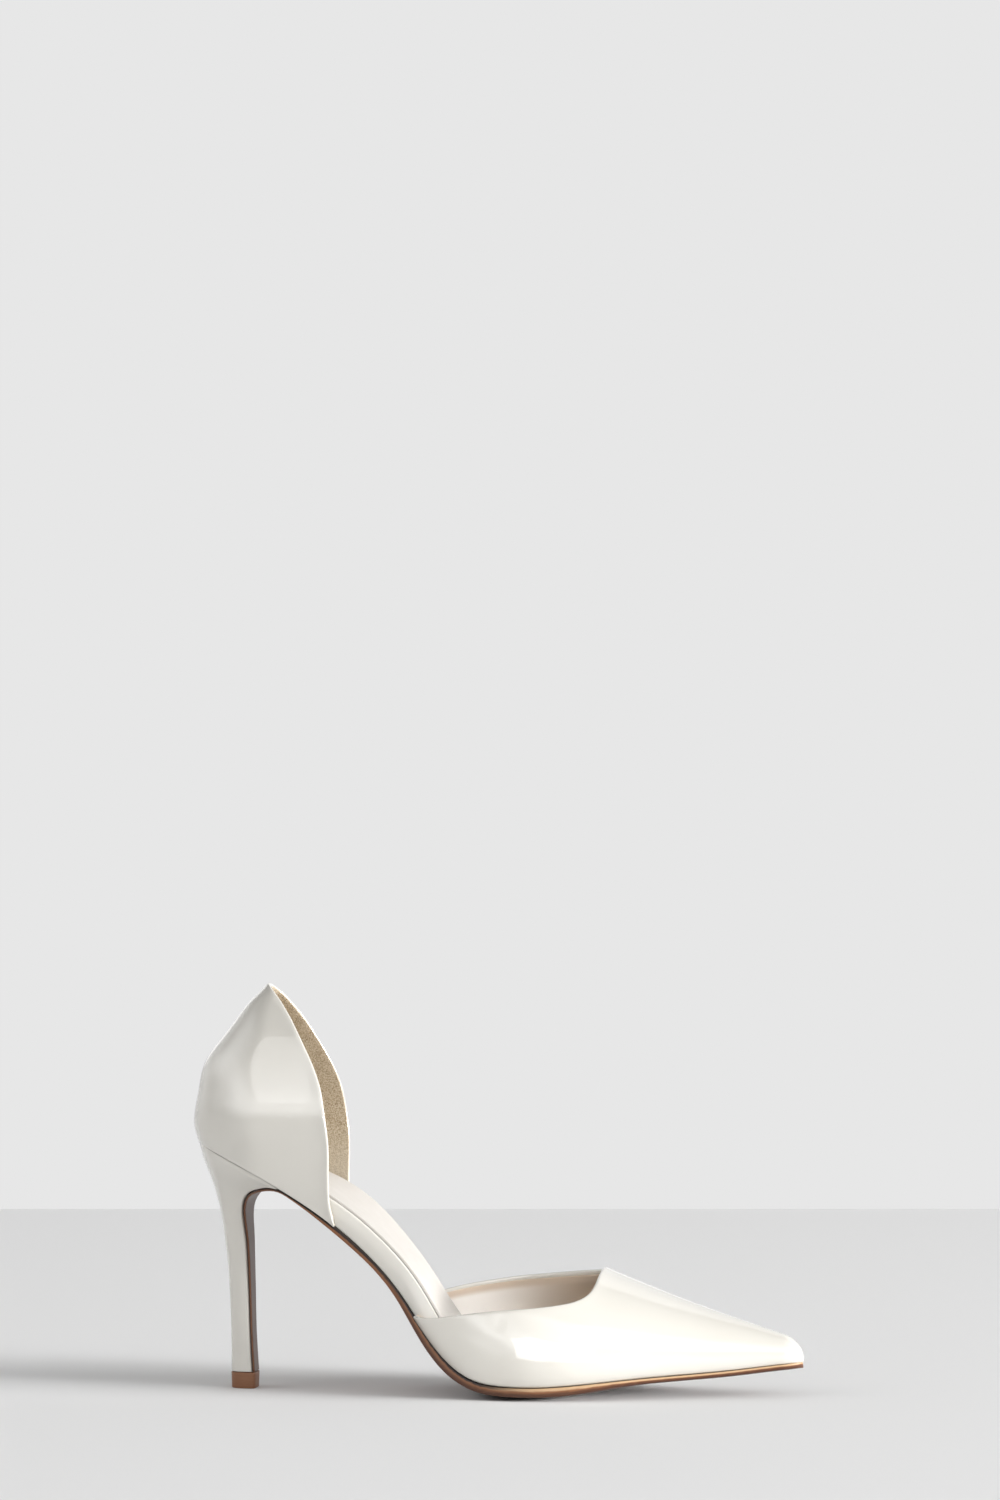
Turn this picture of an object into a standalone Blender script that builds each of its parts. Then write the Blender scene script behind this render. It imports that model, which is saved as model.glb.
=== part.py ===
"""Cut-out court shoe for the right foot: a pointed vamp and a high heel counter that meet only at the sole,
a padded insole that shows between them, a thin outsole that turns down the breast of the heel, and a covered
stiletto heel.

Sizes are millimetres in the maker's frame: x runs forward from the back of the heel, y towards the medial
side, z up from the floor. MM turns them into metres, and the parent empty centres the shoe over the origin.
"""

import bmesh
import bpy
import numpy as np

MM = 0.001

# Driving sizes of the last and of what is built on it.
LENGTH = 235.7
HEEL_BACK = 1.8
HEEL_ROUND = 26.0
HEEL_POWER = 2.2
TOE_ROUND = 8.0
TOE_POWER = 2.3
WALL = 1.8
GAP = 0.3
MERGE = 0.01
PEAK_Z = 156.1
NOSE_SHARE = 0.985
COUNTER_END_X = 57.6

# The last's bottom: height of its centre line, rise of its edges, half widths at the feather edge, thickness
# of the padded insole on it and how much thicker its pad is under the medial arch.
LAST_COLUMNS = ("x", "bottom", "lift", "lateral", "medial", "insole", "arch")
LAST_ROWS = (
    (2.0, 95.4, 0.0, 23.6, 23.6, 5.0, 0.0),
    (18.0, 88.3, 0.0, 24.0, 24.0, 5.4, 0.0),
    (34.0, 79.8, 0.0, 24.2, 24.2, 6.4, 0.2),
    (46.0, 72.2, 0.3, 23.8, 23.6, 7.4, 1.6),
    (58.0, 63.2, 0.6, 22.6, 22.2, 8.0, 2.3),
    (70.0, 52.1, 0.9, 21.2, 20.6, 8.1, 1.3),
    (82.0, 37.8, 1.1, 21.0, 20.0, 8.0, 0.3),
    (92.0, 23.2, 1.2, 23.8, 22.2, 7.4, 0.0),
    (102.0, 12.0, 1.4, 29.0, 27.2, 6.3, 0.0),
    (112.0, 5.8, 1.6, 34.0, 32.2, 5.2, 0.0),
    (124.0, 3.6, 1.8, 37.5, 36.4, 4.4, 0.0),
    (137.0, 3.3, 1.9, 38.2, 38.3, 4.0, 0.0),
    (152.0, 4.3, 1.8, 35.4, 36.9, 3.6, 0.0),
    (170.0, 6.2, 1.5, 29.0, 31.6, 3.2, 0.0),
    (190.0, 8.0, 1.1, 20.9, 23.4, 2.8, 0.0),
    (210.0, 9.8, 0.8, 13.6, 15.0, 2.4, 0.0),
    (226.0, 11.8, 0.5, 8.4, 8.8, 2.0, 0.0),
    (235.7, 12.9, 0.3, 5.6, 5.6, 2.0, 0.0),
)

# The ridge of the forepart. Behind the throat it is the instep that the foot fills.
CREST_COLUMNS = ("x", "z", "y")
CREST_ROWS = (
    (82.0, 81.4, 5.0),
    (102.0, 71.6, 5.8),
    (124.0, 61.8, 6.6),
    (152.0, 50.0, 7.0),
    (170.0, 42.9, 6.4),
    (190.0, 35.5, 4.8),
    (210.0, 28.9, 2.6),
    (226.0, 23.9, 0.8),
    (235.7, 21.0, 0.0),
)
FEATHER_ANGLE = np.radians(8.0)
VAMP_TUCK = 0.06
VAMP_TUCK_FADE = 0.10

# The vamp's folded edge from the wing tip to the throat, a row for each line drawn up the wall: where the line
# leaves the feather edge, where it meets the folded edge, and that edge's height, greater on the medial side.
THROAT_COLUMNS = ("row", "foot_x", "x", "lateral", "medial")
THROAT_ROWS = (
    (0, 88.6, 88.6, 30.7, 34.4),
    (1, 92.3, 92.0, 30.2, 36.0),
    (2, 97.2, 96.5, 30.4, 37.3),
    (3, 104.5, 103.0, 31.6, 38.7),
    (4, 114.0, 112.0, 33.1, 40.2),
    (5, 124.5, 122.0, 34.4, 41.7),
    (6, 135.0, 132.0, 35.2, 42.8),
    (7, 145.0, 141.0, 36.0, 43.9),
    (8, 153.5, 148.5, 37.0, 44.9),
    (9, 160.0, 153.2, 38.4, 45.6),
    (10, 165.5, 156.0, 40.4, 46.2),
    (11, 170.5, 157.4, 43.4, 46.8),
    (12, 175.0, 158.0, 47.6, 47.6),
)

# The centre back of the counter, its folded front edge and the half width of its plan, by height.
BACK_COLUMNS = ("z", "x")
BACK_ROWS = (
    (84.0, 1.9),
    (94.9, 1.6),
    (100.0, 0.2),
    (106.0, 0.0),
    (114.0, 1.4),
    (122.0, 2.8),
    (129.0, 5.8),
    (136.0, 11.1),
    (144.0, 17.2),
    (150.5, 22.5),
    (156.1, 29.4),
)
COUNTER_COLUMNS = ("z", "edge_x", "half_width")
COUNTER_ROWS = (
    (65.6, 57.6, 24.2),
    (72.0, 56.2, 24.8),
    (80.0, 55.8, 25.2),
    (90.0, 55.9, 25.7),
    (100.0, 55.4, 26.2),
    (108.0, 54.4, 26.1),
    (115.0, 53.2, 24.6),
    (122.0, 51.0, 22.5),
    (129.0, 47.9, 20.2),
    (137.0, 43.6, 17.2),
    (144.0, 39.4, 13.6),
    (149.0, 35.9, 10.2),
    (153.0, 32.7, 7.4),
    (156.1, 29.4, 4.6),
)
COUNTER_ROUND = 1.08
COUNTER_TUCK = 0.04
COUNTER_TUCK_FADE = 7.0

# The heel in slanting rings from the seat to the top piece: its back, its breast and its half width.
HEEL_COLUMNS = ("back_x", "back_z", "breast_x", "breast_z", "half_width")
HEEL_ROWS = (
    (1.9, 95.1, 33.0, 80.0, 24.3),
    (3.3, 89.4, 29.5, 78.6, 21.0),
    (5.0, 84.8, 26.0, 77.4, 17.6),
    (6.8, 80.0, 23.2, 75.6, 14.6),
    (8.4, 74.6, 21.0, 72.5, 11.8),
    (9.9, 68.6, 20.2, 67.8, 9.6),
    (11.2, 60.0, 20.8, 60.0, 7.6),
    (12.4, 50.0, 21.3, 50.0, 6.3),
    (13.3, 37.4, 21.7, 37.4, 5.6),
    (13.9, 22.0, 22.1, 22.0, 5.2),
    (14.1, 6.5, 23.0, 6.5, 5.3),
)
HEEL_RING_ROUND = 0.8
TOP_PIECE_HEIGHT = 6.2
TOP_PIECE_BACK = 14.0
TOP_PIECE_FRONT = 24.3
TOP_PIECE_HALF_WIDTH = 5.6
TOP_PIECE_TAPER = 0.2

SOLE_INSET = 0.5
SOLE_SHANK_INSET = 1.7
SHANK_BLEND = (56.0, 64.0, 82.0, 90.0)
SOLE_THICK_FRONT = 3.6
SOLE_THICK_TOE = 1.9
SOLE_THICK_SHANK = 2.4
SOLE_THICK_FLAP = 0.8
SOLE_FRONT_BLEND = (80.0, 100.0)
SOLE_TOE_BLEND = (142.0, 182.0)
SOLE_FLAP_BLEND = (36.0, 62.0)
SOLE_BEVEL = 0.9
SOLE_EDGE_THIN = 0.5
SOLE_TIP = 0.06
SOLE_EVEN = 0.5
FLAP_MARGIN = 0.4
FLAP_START = 3.5
INSOLE_INSET = WALL + GAP
INSOLE_TOE_SHORT = 8.0
INSOLE_EDGE_ROUND = 1.2
SOCK_INSET = 1.3
SOCK_THICK = 0.8
SOCK_TOE_SHORT = 3.0

PATENT_WHITE = (0.80, 0.79, 0.74, 1.0)
SOCK_WHITE = (0.78, 0.76, 0.71, 1.0)
SOLE_TAN = (0.24, 0.11, 0.055, 1.0)
TIP_TAN = (0.26, 0.13, 0.06, 1.0)


def spline(knots, values):
    """A natural cubic spline through the points, held at its end values beyond them."""
    knots, values = np.asarray(knots, float), np.asarray(values, float)
    step = np.diff(knots)
    slope = np.diff(values) / step
    count = len(knots)
    matrix, right = np.eye(count), np.zeros(count)
    for i in range(1, count - 1):
        matrix[i, i - 1 : i + 2] = step[i - 1], 2 * (step[i - 1] + step[i]), step[i]
        right[i] = 6 * (slope[i] - slope[i - 1])
    bend = np.linalg.solve(matrix, right)

    def at(x):
        x = np.clip(np.asarray(x, float), knots[0], knots[-1])
        i = np.clip(np.searchsorted(knots, x) - 1, 0, count - 2)
        before, after = knots[i + 1] - x, x - knots[i]
        cubic = (bend[i] * before**3 + bend[i + 1] * after**3) / (6 * step[i])
        low = (values[i] / step[i] - bend[i] * step[i] / 6) * before
        high = (values[i + 1] / step[i] - bend[i + 1] * step[i] / 6) * after
        return cubic + low + high

    return at


def curves(columns, rows):
    """One spline for each named column of a table, by the table's first column."""
    table = np.array(rows).T
    return {name: spline(table[0], values) for name, values in zip(columns[1:], table[1:])}


LAST = curves(LAST_COLUMNS, LAST_ROWS)
CREST = curves(CREST_COLUMNS, CREST_ROWS)
THROAT = curves(THROAT_COLUMNS, THROAT_ROWS)
BACK = curves(BACK_COLUMNS, BACK_ROWS)
COUNTER = curves(COUNTER_COLUMNS, COUNTER_ROWS)
HEEL = {name: np.array(values) for name, values in zip(HEEL_COLUMNS, zip(*HEEL_ROWS))}


def rounding(share, power):
    """Closes an outline: 0 at its end, 1 from where the rounding is over."""
    return (1 - (1 - np.clip(share, 0, 1)) ** power) ** (1 / power)


def blend(x, low, high):
    """0 below low, 1 above high, smooth between."""
    share = np.clip((x - low) / (high - low), 0, 1)
    return share * share * (3 - 2 * share)


def half_width(x, side, inset=0.0):
    """Distance from the axis to the feather edge on one side, less an inset that also draws in both ends."""
    heel = rounding((x - HEEL_BACK - inset) / HEEL_ROUND, HEEL_POWER)
    toe = rounding((LENGTH - inset - x) / TOE_ROUND, TOE_POWER)
    return (LAST[side](x) - inset) * heel * toe


def feather_z(x):
    """Height of the last's bottom edge."""
    return LAST["bottom"](x) + LAST["lift"](x)


def vamp_point(x, share, side):
    """A point of the forepart's outer surface: share runs from 0 at the feather edge to 1 on the crest.

    The section is part of an ellipse that starts a little below its widest place, drawn in towards the
    feather edge.
    """
    sign = -1.0 if side == "lateral" else 1.0
    toe = rounding((LENGTH - x) / TOE_ROUND, TOE_POWER)
    low = feather_z(x)
    height = (CREST["z"](x) - low) * toe
    crest_y = CREST["y"](x) * toe
    width = half_width(x, side) - sign * crest_y
    tuck = VAMP_TUCK * half_width(x, side)
    angle = -FEATHER_ANGLE + (np.pi / 2 + FEATHER_ANGLE) * share
    rise = height * (np.sin(angle) + np.sin(FEATHER_ANGLE)) / (1 + np.sin(FEATHER_ANGLE))
    fade = np.exp(-rise / np.maximum(VAMP_TUCK_FADE * height, 1e-6))
    reach = (width / np.cos(FEATHER_ANGLE) + tuck * (1 - fade)) * np.cos(angle)
    return np.stack([x + 0 * share, crest_y + sign * reach, low + rise], axis=-1)


def vamp_share(x, z):
    """How far up the section a height lies, as vamp_point counts it."""
    low = feather_z(x)
    sine = (z - low) / (CREST["z"](x) - low) * (1 + np.sin(FEATHER_ANGLE)) - np.sin(FEATHER_ANGLE)
    return (np.arcsin(np.clip(sine, -1, 1)) + FEATHER_ANGLE) / (np.pi / 2 + FEATHER_ANGLE)


def counter_point(along, up, side):
    """A point of the heel counter's outer surface: along runs from 0 at the centre back to 1 at the front
    end, up from 0 at the feather edge to 1 at the folded edge. Its plan is rounded about the back's curve."""
    sign = -1.0 if side == "lateral" else 1.0
    spread = 1 - np.cos(np.pi / 2 * along)
    foot_x = HEEL_BACK + (COUNTER_END_X - HEEL_BACK) * spread
    foot_z = feather_z(foot_x)
    edge_low_z = COUNTER_ROWS[0][0]
    edge_z = PEAK_Z - (PEAK_Z - edge_low_z) * spread
    foot_ahead = foot_x - HEEL_BACK
    edge_ahead = COUNTER["edge_x"](edge_z) - BACK["x"](edge_z)
    ahead = foot_ahead + (edge_ahead - foot_ahead) * up
    z = foot_z + (edge_z - foot_z) * up
    x = BACK["x"](z) + ahead
    width = COUNTER["half_width"](z)
    drawn_in = 1 - COUNTER_TUCK * np.exp(-(z - foot_z) / COUNTER_TUCK_FADE)
    y = width * drawn_in * rounding(ahead / (COUNTER_ROUND * width), HEEL_POWER)
    return np.stack([x, sign * y, z], axis=-1)


def grid_faces(rows, columns, first=0):
    """The quads of a grid of points that is stored row by row from index first."""
    corner = first + np.arange(rows * columns).reshape(rows, columns)
    quads = np.stack([corner[:-1, :-1], corner[1:, :-1], corner[1:, 1:], corner[:-1, 1:]], axis=-1)
    return quads.reshape(-1, 4)


def closed_plate(top, bottom):
    """Points and faces of a solid between two grids of the same size, walled along their four borders."""
    rows, columns = top.shape[:2]
    count = rows * columns
    corner = np.arange(count).reshape(rows, columns)
    border = np.concatenate([corner[0, :-1], corner[:-1, -1], corner[-1, :0:-1], corner[:0:-1, 0]])
    after = np.roll(border, -1)
    walls = np.stack([border, after, after + count, border + count], axis=-1)
    faces = [grid_faces(rows, columns), grid_faces(rows, columns, count)[:, ::-1], walls]
    return np.concatenate([top.reshape(-1, 3), bottom.reshape(-1, 3)]), np.concatenate(faces).tolist()


def material(name, colour, roughness):
    made = bpy.data.materials.new(name)
    made.use_nodes = True
    shader = made.node_tree.nodes["Principled BSDF"]
    shader.inputs["Base Color"].default_value = colour
    shader.inputs["Roughness"].default_value = roughness
    shader.inputs["Metallic"].default_value = 0.0
    return made


def add_piece(name, points, faces, finish, parent):
    """One named object of the shoe, with its doubled points merged and its faces turned outwards."""
    mesh = bpy.data.meshes.new(name)
    mesh.from_pydata((np.asarray(points) * MM).tolist(), [], faces)
    mesh.materials.append(finish)
    work = bmesh.new()
    work.from_mesh(mesh)
    bmesh.ops.remove_doubles(work, verts=work.verts, dist=MERGE * MM)
    bmesh.ops.recalc_face_normals(work, faces=work.faces)
    work.to_mesh(mesh)
    work.free()
    piece = bpy.data.objects.new(name, mesh)
    piece.parent = parent
    bpy.context.scene.collection.objects.link(piece)
    mesh.shade_smooth()
    mesh.set_sharp_from_angle(angle=np.radians(40))
    return piece


def add_wall(piece):
    """Gives a piece made as an outer skin its wall, on the inside."""
    wall = piece.modifiers.new("wall", "SOLIDIFY")
    wall.thickness = WALL * MM
    wall.offset = -1.0
    return piece


def vamp_half(side, behind, ahead, up):
    """One side of the vamp's outer skin, in lines up the wall: to the folded edge as far as the throat, and
    from there to the crest, ending in a small blunt nose."""
    row = np.linspace(0, THROAT_ROWS[-1][0], behind + 1)[:-1]
    nose = np.sin(np.pi / 2 * np.linspace(0, NOSE_SHARE, ahead + 1))
    throat_foot, throat_x = THROAT_ROWS[-1][1:3]
    foot = np.concatenate([THROAT["foot_x"](row), throat_foot + (LENGTH - throat_foot) * nose])[:, None]
    edge = np.concatenate([THROAT["x"](row), throat_x + (LENGTH - throat_x) * nose])[:, None]
    top = np.concatenate([vamp_share(THROAT["x"](row), THROAT[side](row)), np.ones(ahead + 1)])[:, None]
    step = np.linspace(0, 1, up + 1)[None, :]
    return vamp_point(foot + (edge - foot) * step, top * step, side)


def vamp_skin(behind=18, ahead=14, up=10):
    """The vamp's outer skin: its lateral and medial sides, joined along the crest and closed by the nose."""
    lateral = vamp_half("lateral", behind, ahead, up)
    medial = vamp_half("medial", behind, ahead, up)[:, ::-1]
    points = np.concatenate([lateral.reshape(-1, 3), medial.reshape(-1, 3)])
    rows, columns = lateral.shape[:2]
    half = rows * columns
    nose_lateral = np.arange(half - columns, half)
    nose_medial = np.arange(2 * half - columns, 2 * half)
    faces = np.concatenate([grid_faces(rows, columns), grid_faces(rows, columns, half)])[:, ::-1].tolist()
    faces.append(np.concatenate([nose_lateral, nose_medial[1:]]).tolist()[::-1])
    return points, faces


def counter_skin(around=14, up=13):
    """The heel counter's outer skin, from the lateral end round the back to the medial end."""
    along = np.linspace(1, 0, around + 1)[:, None]
    step = np.linspace(0, 1, up + 1)[None, :]
    lateral = counter_point(along, step, "lateral")
    medial = counter_point(along[::-1], step, "medial")[1:]
    points = np.concatenate([lateral, medial])
    return points.reshape(-1, 3), grid_faces(*points.shape[:2]).tolist()


def bottom_normal(x):
    """Direction across the last's bottom, towards the foot, in the plane of x and z."""
    step = 0.5
    slope = (LAST["bottom"](x + step) - LAST["bottom"](x - step)) / (2 * step)
    size = np.sqrt(1 + slope**2)
    return -slope / size, 1 / size


def bottom_layer(x, inset, height, across, pad):
    """A layer on the last's bottom: a grid of points across each station x, at a height along the normal.
    Pad is the share of the arch's extra thickness that lies below the layer."""
    normal_x, normal_z = bottom_normal(x)
    lateral = half_width(x, "lateral", inset)
    medial = half_width(x, "medial", inset)
    y = np.where(across < 0, across * lateral[:, None], across * medial[:, None])
    arch = LAST["arch"](x)[:, None] * np.maximum(across, 0) ** 2
    rise = height + LAST["lift"](x)[:, None] * across**2 + pad * arch
    along = x[:, None] + normal_x[:, None] * rise
    return np.stack([along, y, LAST["bottom"](x)[:, None] + normal_z[:, None] * rise], axis=-1)


def stations(back, front, count, end=0.012):
    """Places along the last, closer together towards the heel and the toe."""
    share = (1 - np.cos(np.pi * np.linspace(end, 1 - end, count))) / 2
    return back + (front - back) * share


def insole_plate(count=40):
    """The padded insole: its top is a little narrower than its bottom, so that its edge is rounded over."""
    x = stations(HEEL_BACK + INSOLE_INSET, LENGTH - INSOLE_TOE_SHORT, count)
    thick = LAST["insole"](x)[:, None]
    across = np.array([-1, -0.92, -0.5, 0, 0.5, 0.92, 1.0])[None, :]
    edge = INSOLE_EDGE_ROUND * (np.abs(across) == 1)
    top = bottom_layer(x, INSOLE_INSET, thick - edge, across, 1.0)
    return closed_plate(top, bottom_layer(x, INSOLE_INSET, 0.0, across, 0.0))


def sock_plate(count=40):
    """The sock lining glued on the insole, a margin in from its edge."""
    inset = INSOLE_INSET + SOCK_INSET
    x = stations(HEEL_BACK + inset, LENGTH - INSOLE_TOE_SHORT - SOCK_TOE_SHORT, count)
    low = LAST["insole"](x)[:, None] + GAP
    across = np.linspace(-1, 1, 7)[None, :]
    top = bottom_layer(x, inset, low + SOCK_THICK, across, 1.0)
    return closed_plate(top, bottom_layer(x, inset, low, across, 1.0))


def sole_path(forward=21):
    """The outsole's way from the toe to the top piece: centre line, half widths, thickness and edge lift."""
    x = np.linspace(LENGTH - SOLE_INSET, HEEL["breast_x"][0] + FLAP_START, forward)
    normal_x, normal_z = bottom_normal(x)
    under = blend(x, *SHANK_BLEND[:2]) - blend(x, *SHANK_BLEND[2:])
    inset = SOLE_INSET + (SOLE_SHANK_INSET - SOLE_INSET) * under
    front = SOLE_THICK_FRONT + (SOLE_THICK_TOE - SOLE_THICK_FRONT) * blend(x, *SOLE_TOE_BLEND)
    thick = SOLE_THICK_SHANK + (front - SOLE_THICK_SHANK) * blend(x, *SOLE_FRONT_BLEND)
    thick = SOLE_THICK_FLAP + (thick - SOLE_THICK_FLAP) * blend(x, *SOLE_FLAP_BLEND)
    fore = [x - GAP * normal_x, LAST["bottom"](x) - GAP * normal_z]
    fore += [LAST["lateral"](x) - inset, LAST["medial"](x) - inset, thick, LAST["lift"](x)]
    down_x, down_z = np.gradient(HEEL["breast_x"]), np.gradient(HEEL["breast_z"])
    size = np.hypot(down_x, down_z)
    flap_x = HEEL["breast_x"] - GAP * down_z / size
    flap_z = HEEL["breast_z"] + GAP * down_x / size
    width = HEEL["half_width"] - FLAP_MARGIN
    flap = [flap_x, flap_z, width, width, np.full_like(width, SOLE_THICK_FLAP), np.zeros_like(width)]
    return np.concatenate([np.array(fore), np.array(flap)], axis=1)


def sole_plate(count=58):
    """The outsole, one strip from the toe under the arch and down the heel's breast, flat on the floor."""
    path = sole_path()
    run = np.concatenate([[0], np.cumsum(np.hypot(*np.diff(path[:2], axis=1)))])
    share = np.linspace(0, 1, count)
    place = SOLE_TIP + (run[-1] - SOLE_TIP) * (SOLE_EVEN * share + (1 - SOLE_EVEN) * share**2)
    x, z, lateral, medial, thick, lift = (spline(run, values)(place) for values in path)
    toe = rounding((LENGTH - SOLE_INSET - x) / TOE_ROUND, TOE_POWER)
    way_x, way_z = np.gradient(x, place), np.gradient(z, place)
    normal_x, normal_z = -way_z, way_x
    across = np.array([-1, -0.84, -0.54, -0.27, 0, 0.27, 0.54, 0.84, 1.0])[None, :]

    def layer(depth, narrow):
        reach = np.where(across < 0, (lateral * toe - narrow)[:, None], (medial * toe - narrow)[:, None])
        rise = lift[:, None] * across**2 - depth
        along = x[:, None] - normal_x[:, None] * rise
        return np.stack([along, across * reach, z[:, None] - normal_z[:, None] * rise], axis=-1)

    full = np.clip((thick - SOLE_THICK_FLAP) / (SOLE_THICK_SHANK - SOLE_THICK_FLAP), 0, 1)
    depth = thick[:, None] - SOLE_EDGE_THIN * full[:, None] * across**4
    under = layer(depth, SOLE_BEVEL * full * toe)
    under[..., 2] = np.maximum(under[..., 2], 0.0)
    return closed_plate(layer(0.0, 0.0), under)


def heel_solid(levels=20, around=10):
    """The stiletto: rings with a round back and a flat breast, from the slanting seat to the top piece."""
    run = np.concatenate([[0], np.cumsum(np.hypot(np.diff(HEEL["back_x"]), np.diff(HEEL["back_z"])))])
    place = np.linspace(run[0], run[-1], levels)
    ring = {name: spline(run, values)(place)[:, None] for name, values in HEEL.items()}
    share = 1 - np.cos(np.pi / 2 * np.linspace(0, 1, around + 1))
    share = np.concatenate([share[:0:-1], share])[None, :]
    sign = np.concatenate([-np.ones(around), np.ones(around + 1)])[None, :]
    x = ring["back_x"] + (ring["breast_x"] - ring["back_x"]) * share
    z = ring["back_z"] + (ring["breast_z"] - ring["back_z"]) * share
    y = sign * ring["half_width"] * rounding(share / HEEL_RING_ROUND, HEEL_POWER)
    z[0] = LAST["bottom"](x[0]) - GAP
    points = np.stack([x, y, z], axis=-1)
    columns = 2 * around + 1
    faces = grid_faces(levels, columns).tolist()
    starts = np.arange(levels - 1) * columns
    breast = np.stack([starts, starts + columns - 1, starts + 2 * columns - 1, starts + columns], axis=-1)
    faces += breast.tolist()
    left = np.arange(around)
    seat = np.stack([left, left + 1, columns - 2 - left, columns - 1 - left], axis=-1)
    foot = (seat + (levels - 1) * columns)[:, ::-1]
    faces += [list(dict.fromkeys(quad)) for quad in np.concatenate([seat, foot]).tolist()]
    return points.reshape(-1, 3), [face[::-1] for face in faces]


def top_piece_solid(around=12):
    """The lift on the heel's end: the heel's own outline and the flap's, drawn out to the floor."""
    share = 1 - np.cos(np.pi / 2 * np.linspace(0, 1, around + 1))
    share = np.concatenate([share[:0:-1], share])
    sign = np.concatenate([-np.ones(around), np.ones(around + 1)])
    y = sign * TOP_PIECE_HALF_WIDTH * rounding(share / HEEL_RING_ROUND, HEEL_POWER)
    x = TOP_PIECE_BACK + (TOP_PIECE_FRONT - TOP_PIECE_BACK) * share
    centre = (TOP_PIECE_BACK + TOP_PIECE_FRONT) / 2
    taper = 1 - TOP_PIECE_TAPER / TOP_PIECE_HALF_WIDTH
    floor = np.stack([centre + (x - centre) * taper, y * taper, 0 * x], axis=-1)
    head = np.stack([x, y, 0 * x + TOP_PIECE_HEIGHT], axis=-1)
    count = len(share)
    ring = np.arange(count)
    after = np.roll(ring, -1)
    walls = np.stack([ring, after, after + count, ring + count], axis=-1).tolist()
    faces = walls + [ring[::-1].tolist(), (ring + count).tolist()]
    return np.concatenate([floor, head]), [face[::-1] for face in faces]


def main():
    for old in list(bpy.data.objects):
        bpy.data.objects.remove(old)
    patent = material("patent_white", PATENT_WHITE, 0.12)
    sock = material("sock_white", SOCK_WHITE, 0.55)
    sole = material("sole_tan", SOLE_TAN, 0.45)
    tip = material("top_piece_tan", TIP_TAN, 0.5)

    vamp_points, vamp_faces = vamp_skin()
    ball_middle = (vamp_points[:, 1].min() + vamp_points[:, 1].max()) / 2
    shoe = bpy.data.objects.new("shoe", None)
    shoe.location = (-LENGTH / 2 * MM, -ball_middle * MM, 0.0)
    bpy.context.scene.collection.objects.link(shoe)

    add_wall(add_piece("vamp", vamp_points, vamp_faces, patent, shoe))
    add_wall(add_piece("counter", *counter_skin(), patent, shoe))
    add_piece("outsole", *sole_plate(), sole, shoe)
    add_piece("insole", *insole_plate(), patent, shoe)
    add_piece("sock_lining", *sock_plate(), sock, shoe)
    add_piece("heel", *heel_solid(), patent, shoe)
    add_piece("top_piece", *top_piece_solid(), tip, shoe)


main()
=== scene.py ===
"""Looks of a cut-out court shoe for the right foot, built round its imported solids.

Sizes are millimetres in the maker's frame: x runs forward from the back of the heel, y towards the medial
side, z up from the floor. The pieces follow in the order in which the shoe is put together.
"""

import bmesh
import bpy
import numpy as np
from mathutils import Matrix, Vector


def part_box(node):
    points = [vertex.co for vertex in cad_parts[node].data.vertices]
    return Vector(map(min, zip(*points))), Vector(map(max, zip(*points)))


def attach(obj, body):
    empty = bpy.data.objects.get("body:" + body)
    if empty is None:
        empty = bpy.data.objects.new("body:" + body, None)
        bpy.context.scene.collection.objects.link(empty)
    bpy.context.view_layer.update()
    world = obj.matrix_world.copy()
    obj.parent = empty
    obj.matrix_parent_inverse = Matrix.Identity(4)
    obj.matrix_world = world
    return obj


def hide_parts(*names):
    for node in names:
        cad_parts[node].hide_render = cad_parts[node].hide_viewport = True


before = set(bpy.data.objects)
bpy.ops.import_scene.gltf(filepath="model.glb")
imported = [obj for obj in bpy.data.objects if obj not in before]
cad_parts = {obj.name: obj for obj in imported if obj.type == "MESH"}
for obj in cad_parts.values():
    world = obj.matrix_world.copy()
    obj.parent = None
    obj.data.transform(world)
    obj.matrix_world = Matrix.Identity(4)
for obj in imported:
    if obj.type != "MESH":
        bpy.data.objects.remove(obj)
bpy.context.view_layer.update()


# INSOLE. A shaped board under a foam pad, thickest below the arch, wrapped all round in the upper's patent
# leather. The upper is lasted round it, and its wrapped rim shows bare in both cut-outs.

MM = 0.001
LENGTH = 235.7
HEEL_BACK = 1.8
HEEL_ROUND = 26.0
HEEL_POWER = 2.2
TOE_ROUND = 8.0
TOE_POWER = 2.3

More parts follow.
